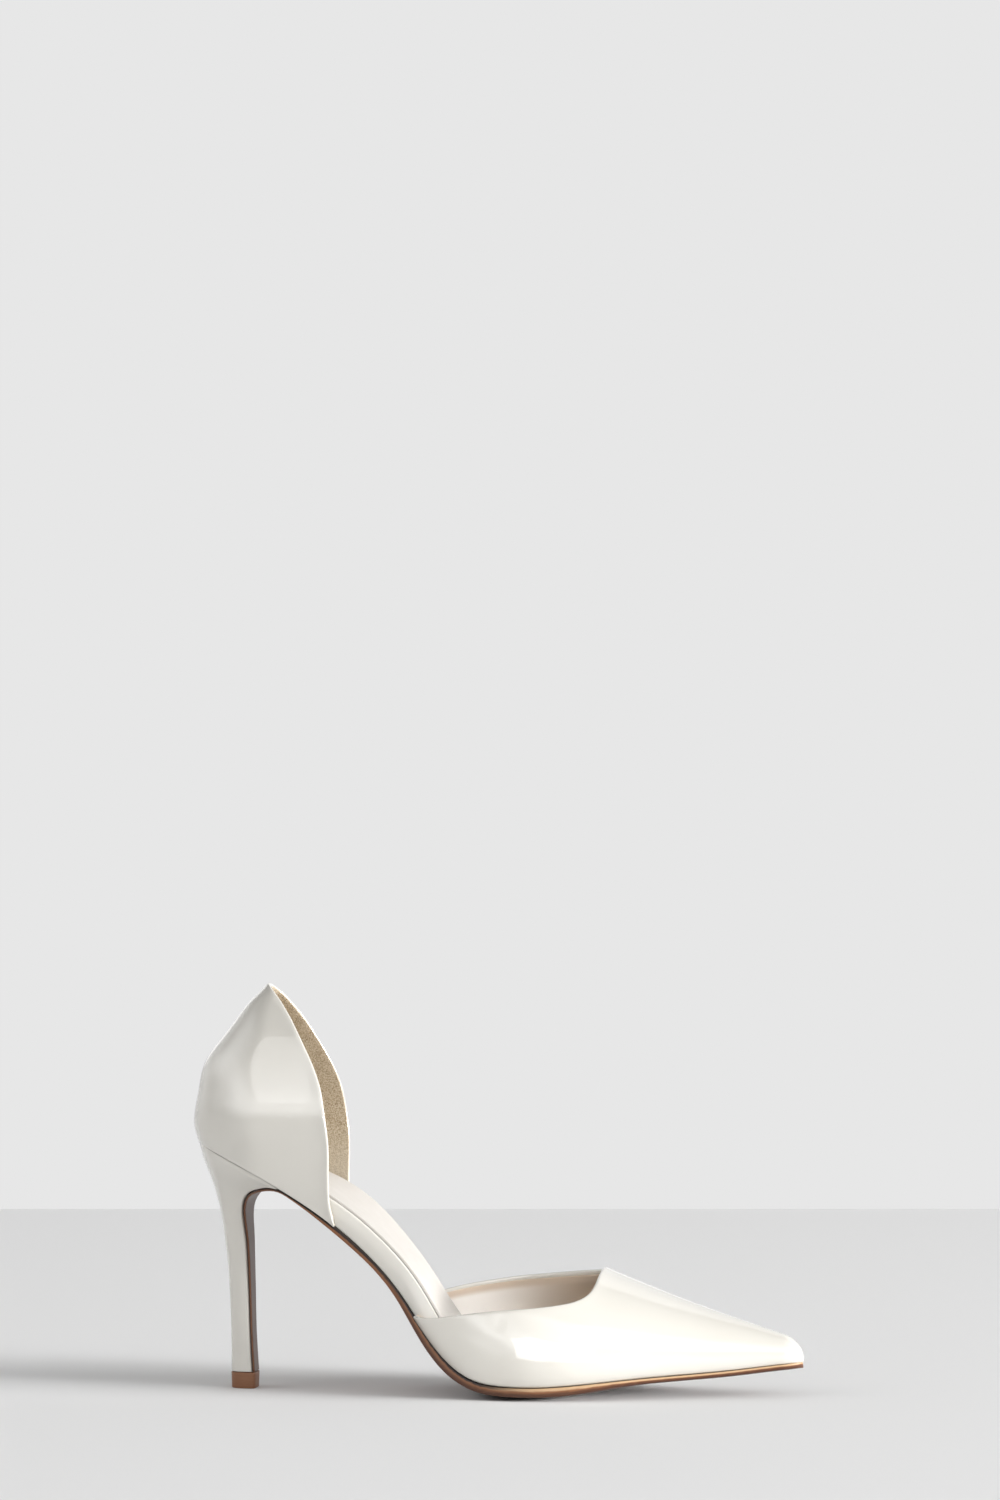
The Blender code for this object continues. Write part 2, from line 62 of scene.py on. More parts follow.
# The last's bottom: height of its centre line, rise of its edges, half widths at the feather edge,
# thickness of the padded insole on it and how much thicker its pad is under the medial arch.
LAST_COLUMNS = ("x", "bottom", "lift", "lateral", "medial", "insole", "arch")
LAST_ROWS = (
    (2.0, 95.4, 0.0, 23.6, 23.6, 5.0, 0.0),
    (18.0, 88.3, 0.0, 24.0, 24.0, 5.4, 0.0),
    (34.0, 79.8, 0.0, 24.2, 24.2, 6.4, 0.2),
    (46.0, 72.2, 0.3, 23.8, 23.6, 7.4, 1.6),
    (58.0, 63.2, 0.6, 22.6, 22.2, 8.0, 2.3),
    (70.0, 52.1, 0.9, 21.2, 20.6, 8.1, 1.3),
    (82.0, 37.8, 1.1, 21.0, 20.0, 8.0, 0.3),
    (92.0, 23.2, 1.2, 23.8, 22.2, 7.4, 0.0),
    (102.0, 12.0, 1.4, 29.0, 27.2, 6.3, 0.0),
    (112.0, 5.8, 1.6, 34.0, 32.2, 5.2, 0.0),
    (124.0, 3.6, 1.8, 37.5, 36.4, 4.4, 0.0),
    (137.0, 3.3, 1.9, 38.2, 38.3, 4.0, 0.0),
    (152.0, 4.3, 1.8, 35.4, 36.9, 3.6, 0.0),
    (170.0, 6.2, 1.5, 29.0, 31.6, 3.2, 0.0),
    (190.0, 8.0, 1.1, 20.9, 23.4, 2.8, 0.0),
    (210.0, 9.8, 0.8, 13.6, 15.0, 2.4, 0.0),
    (226.0, 11.8, 0.5, 8.4, 8.8, 2.0, 0.0),
    (235.7, 12.9, 0.3, 5.6, 5.6, 2.0, 0.0),
)
INSOLE_INSET = 2.1
INSOLE_TOE_SHORT = 8.0
INSOLE_TOP_ROUND = 1.0
INSOLE_FOOT_ROUND = 0.5
INSOLE_BULGE = 0.3
PATENT_IVORY = "#DAD7CF"
PATENT_SHADE = "#D6D2C9"
SIDES = ("lateral", "medial")

# How finely plates on the last are drawn, and the share of the half width that a rounded edge takes at most.
PLATE_STATIONS = 150
PLATE_END = 0.006
PLATE_FLAT = 25
PLATE_ARC = 6
ROUND_LIMIT = 0.45
WELD_DISTANCE = 0.004
SHARP_ANGLE = np.radians(50.0)

# The shoe's axis, in metres: the heel stands evenly about it, and the origin is half way along the shoe.
heel_low, heel_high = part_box("heel")
AXIS = np.array([-LENGTH / 2 * MM, (heel_low.y + heel_high.y) / 2, 0.0])


def spline(knots, values):
    """A natural cubic spline through the points, held at its end values beyond them."""
    knots, values = np.asarray(knots, float), np.asarray(values, float)
    step = np.diff(knots)
    slope = np.diff(values) / step
    count = len(knots)
    matrix, right = np.eye(count), np.zeros(count)
    for i in range(1, count - 1):
        matrix[i, i - 1 : i + 2] = step[i - 1], 2 * (step[i - 1] + step[i]), step[i]
        right[i] = 6 * (slope[i] - slope[i - 1])
    bend = np.linalg.solve(matrix, right)

    def at(x):
        """The cubic between the two knots on either side of x, from their values and their bends."""
        x = np.clip(np.asarray(x, float), knots[0], knots[-1])
        i = np.clip(np.searchsorted(knots, x) - 1, 0, count - 2)
        before, after = knots[i + 1] - x, x - knots[i]
        cubic = (bend[i] * before**3 + bend[i + 1] * after**3) / (6 * step[i])
        low = (values[i] / step[i] - bend[i] * step[i] / 6) * before
        high = (values[i + 1] / step[i] - bend[i + 1] * step[i] / 6) * after
        return cubic + low + high

    return at


def curves(columns, rows):
    """One spline for each named column of a table, by the table's first column."""
    table = np.array(rows).T
    return {name: spline(table[0], values) for name, values in zip(columns[1:], table[1:])}


def rounding(share, power):
    """Closes an outline like a superellipse: 0 at its end, 1 from where the rounding is over."""
    return (1 - (1 - np.clip(share, 0, 1)) ** power) ** (1 / power)


LAST = curves(LAST_COLUMNS, LAST_ROWS)


def half_width(x, side, inset=0.0):
    """Distance from the axis to one side's feather edge, less an inset that draws in both ends too."""
    heel = rounding((x - HEEL_BACK - inset) / HEEL_ROUND, HEEL_POWER)
    toe = rounding((LENGTH - inset - x) / TOE_ROUND, TOE_POWER)
    return (LAST[side](x) - inset) * heel * toe


def bottom_normal(x):
    """Direction across the last's bottom, towards the foot, in the plane of x and z: square to its slope."""
    step = 0.5
    slope = (LAST["bottom"](x + step) - LAST["bottom"](x - step)) / (2 * step)
    size = np.sqrt(1 + slope**2)
    return -slope / size, 1 / size


def stations(back, front):
    """Places along the last, closer together towards both ends, by half a cosine wave."""
    share = (1 - np.cos(np.pi * np.linspace(PLATE_END, 1 - PLATE_END, PLATE_STATIONS))) / 2
    return back + (front - back) * share


def plate_edge(flat, arc):
    """Once across a plate from edge to edge: the place on its flat from -1 to 1, how far the rounded edge
    stands out beyond the flat, and how far it has fallen, both as shares of its radius."""
    turn = np.linspace(0, np.pi / 2, arc + 1)[1:]
    place = np.concatenate([np.full(arc, -1.0), np.linspace(-1, 1, flat), np.full(arc, 1.0)])
    stand = np.concatenate([np.sin(turn)[::-1], np.zeros(flat), np.sin(turn)])
    fall = np.concatenate([1 - np.cos(turn)[::-1], np.zeros(flat), 1 - np.cos(turn)])
    return place, stand, fall


def plate_grids(top, bottom, bulge, steps=5):
    """The six grids round a plate: its faces, its sides, which bow out between them, and its ends."""
    rise = np.linspace(0, 1, steps + 1)[None, :, None]
    bow = bulge * np.sin(np.pi * rise) * np.array([0.0, 1.0, 0.0])
    left = top[:, :1] * (1 - rise) + bottom[:, :1] * rise - bow
    right = top[:, -1:] * (1 - rise) + bottom[:, -1:] * rise + bow
    toe_rise = rise.reshape(-1, 1, 1)
    ends = [top[i] * (1 - toe_rise) + bottom[i] * toe_rise for i in (0, -1)]
    ends[0][:, 0], ends[0][:, -1] = left[0], right[0]
    ends[1][:, 0], ends[1][:, -1] = left[-1], right[-1]
    return [top, bottom, left, right, *ends]


def on_insole(x, inset, edge, radius, height, pad, turn):
    """One face of a plate on the last's bottom: at each station x the place across, and the height along
    the bottom's normal, with the last's lifted edges and the share of the arch's pad that lies below. Its
    edges turn down where turn is 1, and up where it is -1."""
    place, stand, fall = edge
    normal_x, normal_z = (part[:, None] for part in bottom_normal(x))
    lateral, medial = (half_width(x, side, inset)[:, None] for side in SIDES)
    width = np.where(place < 0, lateral, medial)
    radius = np.minimum(radius, ROUND_LIMIT * width)
    share = place * (1 - radius / width * (1 - stand))
    arch = LAST["arch"](x)[:, None] * np.maximum(share, 0) ** 2
    rise = height - turn * radius * fall + LAST["lift"](x)[:, None] * share**2 + pad * arch
    z = LAST["bottom"](x)[:, None] + normal_z * rise
    return np.stack([x[:, None] + normal_x * rise, share * width, z], axis=-1)


def weld(name, grids, finish, caps=(), mark=None, marks=()):
    """Makes one piece of grids of points that share their borders, and of caps, which are closed rings.
    Doubled points are merged and the faces turned outwards. Marks, one array a grid, become the attribute
    named mark."""
    points, faces, first = [], [], 0
    for grid in grids:
        rows, columns = grid.shape[:2]
        corner = first + np.arange(rows * columns).reshape(rows, columns)
        quads = np.stack([corner[:-1, :-1], corner[1:, :-1], corner[1:, 1:], corner[:-1, 1:]], axis=-1)
        points.append(grid.reshape(-1, 3))
        faces += quads.reshape(-1, 4).tolist()
        first += rows * columns
    for ring in caps:
        points.append(ring)
        faces.append(list(range(first, first + len(ring))))
        first += len(ring)
    mesh = bpy.data.meshes.new(name)
    mesh.from_pydata((np.concatenate(points) * MM + AXIS).tolist(), [], faces)
    if mark:
        values = np.concatenate([part.ravel() for part in marks] + [np.zeros(len(ring)) for ring in caps])
        mesh.attributes.new(mark, "FLOAT", "POINT").data.foreach_set("value", values.astype(np.float32))
    work = bmesh.new()
    work.from_mesh(mesh)
    bmesh.ops.remove_doubles(work, verts=work.verts, dist=WELD_DISTANCE * MM)
    bmesh.ops.recalc_face_normals(work, faces=work.faces)
    work.to_mesh(mesh)
    work.free()
    mesh.materials.append(finish)
    mesh.shade_smooth()
    mesh.set_sharp_from_angle(angle=SHARP_ANGLE)
    piece = bpy.data.objects.new(name, mesh)
    bpy.context.scene.collection.objects.link(piece)
    return piece


def linear(colour):
    """The linear value of an sRGB hex colour: a straight line near black, a power of 2.4 above it."""
    part = np.array([int(colour[i : i + 2], 16) / 255 for i in (1, 3, 5)])
    part = np.where(part <= 0.04045, part / 12.92, ((part + 0.055) / 1.055) ** 2.4)
    return (*part.tolist(), 1.0)


def node(tree, kind, inputs, **settings):
    """Adds a node: settings are its own properties, inputs are values or other nodes' sockets."""
    made = tree.nodes.new(kind)
    for name, value in settings.items():
        setattr(made, name, value)
    for name, value in inputs.items():
        if isinstance(value, bpy.types.NodeSocket):
            tree.links.new(value, made.inputs[name])
        else:
            made.inputs[name].default_value = value
    return made


def object_place(tree):
    """Where each point lies, in metres from the middle of the shoe on the floor."""
    return node(tree, "ShaderNodeTexCoord", {}).outputs["Object"]


def two_tone(tree, share, first, second, way="MIX"):
    """The second colour laid over the first by this share, each a hex colour or a socket."""
    ends = [linear(part) if isinstance(part, str) else part for part in (first, second)]
    inputs = {0: share, 6: ends[0], 7: ends[1]}
    return node(tree, "ShaderNodeMix", inputs, data_type="RGBA", blend_type=way).outputs[2]


def per_mm(size):
    """The scale of a pattern with features this many millimetres apart: one over that, in metres."""
    return 1 / (size * MM)


def noise(tree, where, size, detail):
    """A cloudy pattern from 0 to 1 with features of this many millimetres and finer ones to this detail."""
    return node(tree, "ShaderNodeTexNoise", {"Vector": where, "Scale": per_mm(size), "Detail": detail})


def bump(tree, pattern, strength, depth):
    """A surface that rises with a pattern, by this many millimetres at full strength."""
    inputs = {"Height": pattern.outputs[0], "Strength": strength, "Distance": depth * MM}
    return node(tree, "ShaderNodeBump", inputs)


def new_finish(name, **sockets):
    """A material, its node tree and its shader, with the values that are the same all over set."""
    made = bpy.data.materials.new(name)
    made.use_nodes = True
    shader = made.node_tree.nodes["Principled BSDF"]
    for socket, value in sockets.items():
        shader.inputs[socket.replace("_", " ")].default_value = value
    return made, made.node_tree, shader


def dress(tree, shader, colour, relief):
    """Links a colour to a shader's base colour and a bump to its normal."""
    tree.links.new(colour, shader.inputs["Base Color"])
    tree.links.new(relief.outputs[0], shader.inputs["Normal"])


# Patent leather: split hide under a cast film of clear lacquer. The film gives the eye a hard gloss, and
# the hide under it a faint wave that makes the edges of reflections wander. The colour is an even ivory.
patent, tree, shader = new_finish(
    "patent_leather_ivory", Roughness=0.16, Coat_Weight=1.0, Coat_Roughness=0.05, Coat_IOR=1.8, IOR=1.5
)
here = object_place(tree)
cloud = noise(tree, here, 28, 2.0)
ivory = two_tone(tree, cloud.outputs[0], PATENT_IVORY, PATENT_SHADE)
wave = noise(tree, here, 14, 1.0)
peel = noise(tree, here, 1.6, 2.0)
swell = bump(tree, wave, 0.6, 0.12)
skin = bump(tree, peel, 0.3, 0.01)
tree.links.new(swell.outputs[0], skin.inputs["Normal"])
tree.links.new(swell.outputs[0], shader.inputs["Coat Normal"])
dress(tree, shader, ivory, skin)

insole_x = stations(HEEL_BACK + INSOLE_INSET, LENGTH - INSOLE_TOE_SHORT)
insole_thick = LAST["insole"](insole_x)[:, None]
insole_edge = plate_edge(PLATE_FLAT, PLATE_ARC)
insole_top = on_insole(insole_x, INSOLE_INSET, insole_edge, INSOLE_TOP_ROUND, insole_thick, 1.0, 1)
insole_foot = on_insole(insole_x, INSOLE_INSET, insole_edge, INSOLE_FOOT_ROUND, 0.0, 0.0, -1)
insole = weld("insole_wrapped", plate_grids(insole_top, insole_foot, INSOLE_BULGE), patent)
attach(insole, "root")
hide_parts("insole")


# COUNTER. The high back of the upper: patent leather folded over along its whole front edge and lasted over
# the heel seat, with a fleecy lining that grips the heel, glued inside and trimmed close to the fold.

COUNTER_END_X = 57.6
PEAK_Z = 156.1
BACK_COLUMNS = ("z", "x")
BACK_ROWS = (
    (84.0, 1.9),
    (94.9, 1.6),
    (100.0, 0.2),
    (106.0, 0.0),
    (114.0, 1.4),
    (122.0, 2.8),
    (129.0, 5.8),
    (136.0, 11.1),
    (144.0, 17.2),
    (150.5, 22.5),
    (156.1, 29.4),
)
COUNTER_COLUMNS = ("z", "edge_x", "half_width")
COUNTER_ROWS = (
    (65.6, 57.6, 24.2),
    (72.0, 56.2, 24.8),
    (80.0, 55.8, 25.2),
    (90.0, 55.9, 25.7),
    (100.0, 55.4, 26.2),
    (108.0, 54.4, 26.1),
    (115.0, 53.2, 24.6),
    (122.0, 51.0, 22.5),
    (129.0, 47.9, 20.2),
    (137.0, 43.6, 17.2),
    (144.0, 39.4, 13.6),
    (149.0, 35.9, 10.2),
    (153.0, 32.7, 7.4),
    (156.1, 29.4, 4.6),
)
COUNTER_ROUND = 1.08
COUNTER_TUCK = 0.04
COUNTER_TUCK_FADE = 7.0
LEATHER_THICK = 1.2
LINING_THICK = 0.65
LINING_GAP = 0.06
LINING_DEPTHS = (LEATHER_THICK + LINING_GAP, LEATHER_THICK + LINING_GAP + LINING_THICK)
FOLD_REACH = 0.7
GRIP_SHORT = -0.3
FEATHER_REACH = 0.5
SEAT_REACH = 0.2
FOLD_SWELL = 0.16
FOLD_WIDTH = 3.2
TIP_SWELL = 0.7
TIP_WIDTH = 3.5
GRIP_BEIGE = "#C2B196"
GRIP_DARK = "#8E7B62"
GRIP_PALE_SPECK_AND_LIGHT = "#D6CCBA"
# Where painted light turns the lining paler towards the seat, as heights in metres, and its specks' colours
# by their height in the pattern.
GRIP_PAINTED_LIGHT_FROM = (0.100, 0.082)
GRIP_PAINTED_LIGHT_SHARE = 0.5
GRIP_PATCHES = 0.35
GRIP_SPECKS = ((0.34, GRIP_DARK), (0.5, GRIP_BEIGE), (0.66, GRIP_PALE_SPECK_AND_LIGHT))
# How finely the counter is drawn, and the share of a wall's height that a roll takes at most.
COUNTER_AROUND = 64
COUNTER_UP = 60
GRIP_UP = 48
ROLL_LIMIT = 0.3

BACK = curves(BACK_COLUMNS, BACK_ROWS)
COUNTER = curves(COUNTER_COLUMNS, COUNTER_ROWS)


def feather_z(x):
    """Height of the last's bottom edge: that of its centre line and the edge's rise together."""
    return LAST["bottom"](x) + LAST["lift"](x)


def counter_point(along, up, sign):
    """A point of the counter's outer face: along runs from 0 at the centre back to 1 at the front end, up
    from 0 at the feather edge to 1 at the folded edge. Its plan is rounded about the curve of the back."""
    spread = 1 - np.cos(np.pi / 2 * along)
    foot_x = HEEL_BACK + (COUNTER_END_X - HEEL_BACK) * spread
    foot_z = feather_z(foot_x)
    edge_z = PEAK_Z - (PEAK_Z - COUNTER_ROWS[0][0]) * spread
    foot_ahead = foot_x - HEEL_BACK
    edge_ahead = COUNTER["edge_x"](edge_z) - BACK["x"](edge_z)
    ahead = foot_ahead + (edge_ahead - foot_ahead) * up
    z = foot_z + (edge_z - foot_z) * up
    width = COUNTER["half_width"](z)
    drawn_in = 1 - COUNTER_TUCK * np.exp(-(z - foot_z) / COUNTER_TUCK_FADE)
    y = width * drawn_in * rounding(ahead / (COUNTER_ROUND * width), HEEL_POWER)
    return np.stack([BACK["x"](z) + ahead, sign * y, z], axis=-1)


def counter_face(up, pull_top, pull_foot):
    """The counter's outer face from its lateral end round the back to its medial end, drawn back from the
    folded edge and the feather edge by these distances, and how far each point lies below the fold."""
    turn = np.linspace(-1, 1, 2 * COUNTER_AROUND + 1)[:, None]
    ends = counter_point(np.abs(turn), np.array([[0.0, 1.0]]), np.sign(turn))
    height = np.linalg.norm(ends[:, 1:] - ends[:, :1], axis=-1)
    low = np.minimum(pull_foot / height, ROLL_LIMIT)
    high = 1 - np.minimum(pull_top / height, ROLL_LIMIT)
    up = low + (high - low) * np.linspace(0, 1, up + 1)[None, :]
    return counter_point(np.abs(turn), up, np.sign(turn)), (1 - up) * height


def unit(vectors):
    """The vectors made one long: each over its length, or over a tiny number where it has none."""
    tiny = 1e-9
    return vectors / np.maximum(np.linalg.norm(vectors, axis=-1, keepdims=True), tiny)


def face_normal(points):
    """Directions across a grid of points: the cross product of its lines up and its lines along."""
    along = np.gradient(points, axis=0, edge_order=2)
    up = np.gradient(points, axis=1, edge_order=2)
    return unit(np.cross(up, along))


def rolled_edge(outer, inner, beside, reach, steps=6):
    """Half an oval round a wall's edge, from the border of its outer face to that of its inner face. It
    stands out by reach, square to the border and away from the line of points beside it."""
    along = np.gradient(outer, axis=0)
    out = unit(np.cross(along, outer - inner))
    out *= np.sign(np.sum(out * (outer - beside), axis=-1, keepdims=True))
    turn = np.linspace(0, np.pi, steps + 1)[None, :, None]
    middle, half = (outer + inner)[:, None] / 2, (outer - inner)[:, None] / 2
    return middle + half * np.cos(turn) + (reach * out)[:, None] * np.sin(turn)


def wall_grids(outer, inner, top_reach, foot_reach):
    """The grids of a wall whose edges at top and foot are rolled, and the rings that close its two ends."""
    top = rolled_edge(outer[:, -1], inner[:, -1], outer[:, -2], top_reach)
    foot = rolled_edge(outer[:, 0], inner[:, 0], outer[:, 1], foot_reach)
    ends = [np.concatenate([outer[i], top[i, 1:], inner[i, -2::-1], foot[i, -2:0:-1]]) for i in (0, -1)]
    return [outer, inner, top, foot], ends


def line_share(points):
    """The reach that a roll is allowed at the end of each line up a wall: a share of the line's length."""
    return ROLL_LIMIT * np.linalg.norm(points[:, -1] - points[:, 0], axis=-1, keepdims=True)


counter_outer, below_fold = counter_face(COUNTER_UP, FOLD_REACH, SEAT_REACH)
counter_normal = face_normal(counter_outer)
from_tip = np.linalg.norm(counter_outer - (BACK_ROWS[-1][1], 0.0, PEAK_Z), axis=-1)
fold = FOLD_SWELL * np.exp(-((below_fold / FOLD_WIDTH) ** 2))
fold += TIP_SWELL * np.exp(-((from_tip / TIP_WIDTH) ** 2))
grids, ends = wall_grids(
    counter_outer + fold[..., None] * counter_normal,
    counter_outer - LEATHER_THICK * counter_normal,
    np.minimum(FOLD_REACH, line_share(counter_outer)),
    np.minimum(SEAT_REACH, line_share(counter_outer)),
)
counter = weld("counter_leather", grids, patent, ends)
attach(counter, "root")
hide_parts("counter")


def colour_ramp(tree, value, stops):
    """The colour at a value from 0 to 1, blended between the stops, each a place and a hex colour."""
    ramp = node(tree, "ShaderNodeValToRGB", {0: value})
    ramp.color_ramp.elements.remove(ramp.color_ramp.elements[1])
    ramp.color_ramp.elements[0].position = stops[0][0]
    ramp.color_ramp.elements[0].color = linear(stops[0][1])
    for position, colour in stops[1:]:
        ramp.color_ramp.elements.new(position).color = linear(colour)
    return ramp.outputs[0]


# Counter lining: a short-napped textile that grips the heel. Its fibres give the eye a matt, warm beige with
# paler and darker specks. Towards the seat it is painted paler, a painted highlight where the lower lining is
# lit brighter near the sock. Real fibres are about 0.05 mm; the specks are drawn at 0.5 mm so that they show.
grip, tree, shader = new_finish(
    "napped_textile_beige", Roughness=0.9, Sheen_Weight=0.35, Sheen_Roughness=0.5, Specular_IOR_Level=0.2
)
here = object_place(tree)
specks = noise(tree, here, 0.5, 3.0)
specks.inputs["Roughness"].default_value = 0.7
patches = noise(tree, here, 3.0, 2.0)
speck_colour = colour_ramp(tree, specks.outputs[0], GRIP_SPECKS)
patch = two_tone(tree, GRIP_PATCHES, speck_colour, patches.outputs[0], "SOFT_LIGHT")
height = node(tree, "ShaderNodeSeparateXYZ", {0: here}).outputs[2]
# Painted highlight: the lining turns paler below these heights, towards the seat.
painted_light_range = {0: height, 1: GRIP_PAINTED_LIGHT_FROM[0], 2: GRIP_PAINTED_LIGHT_FROM[1], 3: 0.0, 4: GRIP_PAINTED_LIGHT_SHARE}
low = node(tree, "ShaderNodeMapRange", painted_light_range)
painted_paler = two_tone(tree, low.outputs[0], patch, GRIP_PALE_SPECK_AND_LIGHT)
dress(tree, shader, painted_paler, bump(tree, specks, 0.8, 0.12))

lining_outer = counter_face(GRIP_UP, FOLD_REACH + GRIP_SHORT, FEATHER_REACH)[0]
lining_normal = face_normal(lining_outer)
lining_reach = np.minimum(LINING_THICK / 2, line_share(lining_outer))
lining_faces = [lining_outer - depth * lining_normal for depth in LINING_DEPTHS]
grids, ends = wall_grids(*lining_faces, lining_reach, lining_reach)
counter_lining = weld("counter_lining", grids, grip, ends)
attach(counter_lining, "root")


# VAMP. The pointed forepart of the upper: patent leather folded over along the throat and the two wings,
# pulled over the last and turned under its feather edge. A smooth kid lining is glued inside, trimmed short
# of the fold.

CREST_COLUMNS = ("x", "z", "y")
CREST_ROWS = (
    (82.0, 81.4, 5.0),
    (102.0, 71.6, 5.8),
    (124.0, 61.8, 6.6),
    (152.0, 50.0, 7.0),
    (170.0, 42.9, 6.4),
    (190.0, 35.5, 4.8),
    (210.0, 28.9, 2.6),
    (226.0, 23.9, 0.8),
    (235.7, 21.0, 0.0),
)
FEATHER_ANGLE = np.radians(8.0)
VAMP_TUCK = 0.08
VAMP_TUCK_FADE = 0.13
WING_TUCK = 0.15
WING_BLEND = (94.0, 126.0)
FEATHER_DRAW = 1.2
FEATHER_DRAW_FADE = 2.5

# The vamp's folded edge from the wing tip to the throat, a row for each line drawn up the wall: where the
# line leaves the feather edge, where it meets the folded edge, and that edge's height, greater on the
# medial side.
THROAT_COLUMNS = ("row", "foot_x", "x", "lateral", "medial")
THROAT_ROWS = (
    (0, 88.6, 88.6, 30.7, 34.4),
    (1, 92.3, 92.0, 30.2, 36.0),
    (2, 97.2, 96.5, 30.4, 37.3),
    (3, 104.5, 103.0, 31.6, 38.7),
    (4, 114.0, 112.0, 33.1, 40.2),
    (5, 124.5, 122.0, 34.4, 41.7),
    (6, 135.0, 132.0, 35.2, 42.8),
    (7, 145.0, 141.0, 36.0, 43.9),
    (8, 153.5, 148.5, 37.0, 44.9),
    (9, 160.0, 153.2, 38.4, 45.6),
    (10, 165.5, 156.0, 40.4, 46.2),
    (11, 170.5, 157.4, 43.4, 46.8),
    (12, 175.0, 158.0, 47.6, 47.6),
)
# Soft creases pulled into the forepart in lasting: the side, both ends as x and z, half width and depth. A
# negative depth is a ridge.
CREASES = (
    ("lateral", 107.0, 28.0, 123.0, 20.0, 3.6, 0.22),
    ("lateral", 117.0, 28.5, 131.0, 22.5, 2.8, -0.14),
    ("lateral", 124.0, 29.0, 141.0, 18.0, 3.4, 0.20),
    ("lateral", 134.0, 24.0, 150.0, 12.5, 3.2, -0.12),
    ("lateral", 163.0, 27.0, 178.0, 21.0, 4.5, 0.12),
    ("medial", 106.0, 33.0, 121.0, 24.0, 3.6, 0.20),
    ("medial", 119.0, 34.0, 137.0, 25.0, 3.4, 0.18),
    ("medial", 131.0, 29.0, 148.0, 20.0, 3.0, -0.12),
    ("medial", 160.0, 30.0, 176.0, 23.0, 4.5, 0.12),
)
KID_SHORT = 0.9
KID_PALE = "#FBF6EF"
KID_PAINTED_SHADE = "#B7A38D"
KID_FOLD_SHADOW = "#CDBBA8"
# Where painted shade turns the lining brown towards the throat, as x in metres from half way along the shoe,
# and where the painted shadow band below the fold fades, by the distance from the folded edge, from which the
# foot's roll counts as far.
KID_PAINTED_SHADE_FROM = (-0.016, 0.034)
KID_FOLD_SHADOW_FADE = (2.6, 5.2)
KID_FAR = 99.0
# How finely the wall and its lining are drawn: lines behind and ahead of the throat's middle, points up them.
BEHIND, AHEAD, VAMP_UP = 84, 72, 44
KID_BEHIND, KID_AHEAD, KID_UP = 60, 40, 30
BORDER_FINE = 10
# The share of a wall's height that a roll takes at most at its top and its foot, and how many points in from
# the edge the line lies that tells a roll which way is out.
TOP_LIMIT = 0.4
FOOT_LIMIT = 0.25
BESIDE = 8
LEAST_FADE = 1e-6

CREST = curves(CREST_COLUMNS, CREST_ROWS)
THROAT = curves(THROAT_COLUMNS, THROAT_ROWS)


def blend(x, low, high):
    """0 below low, 1 above high, and between them three squares less two cubes of the share."""
    share = np.clip((x - low) / (high - low), 0, 1)
    return share * share * (3 - 2 * share)


def vamp_point(x, share, side):
    """A point of the forepart's outer face: share runs from 0 at the feather edge to 1 on the crest. The
    section is part of an ellipse that starts a little below its widest place, drawn in towards the feather
    edge, and more at the wings, which flare from the sole."""
    sign = -1.0 if side == "lateral" else 1.0
    toe = rounding((LENGTH - x) / TOE_ROUND, TOE_POWER)
    low = feather_z(x)
    height = (CREST["z"](x) - low) * toe
    crest_y = CREST["y"](x) * toe
    width = half_width(x, side) - sign * crest_y
    tuck = (WING_TUCK + (VAMP_TUCK - WING_TUCK) * blend(x, *WING_BLEND)) * half_width(x, side)
    angle = -FEATHER_ANGLE + (np.pi / 2 + FEATHER_ANGLE) * share
    rise = height * (np.sin(angle) + np.sin(FEATHER_ANGLE)) / (1 + np.sin(FEATHER_ANGLE))
    fade = np.exp(-rise / np.maximum(VAMP_TUCK_FADE * height, LEAST_FADE))
    reach = (width / np.cos(FEATHER_ANGLE) + tuck * (1 - fade)) * np.cos(angle)
    reach -= FEATHER_DRAW * np.exp(-rise / FEATHER_DRAW_FADE) * toe
    return np.stack([x + 0 * share, crest_y + sign * reach, low + rise], axis=-1)


def vamp_share(x, z):
    """How far up the section a height lies: vamp_point's rise solved for the share."""
    low = feather_z(x)
    sine = (z - low) / (CREST["z"](x) - low) * (1 + np.sin(FEATHER_ANGLE)) - np.sin(FEATHER_ANGLE)
    return (np.arcsin(np.clip(sine, -1, 1)) + FEATHER_ANGLE) / (np.pi / 2 + FEATHER_ANGLE)


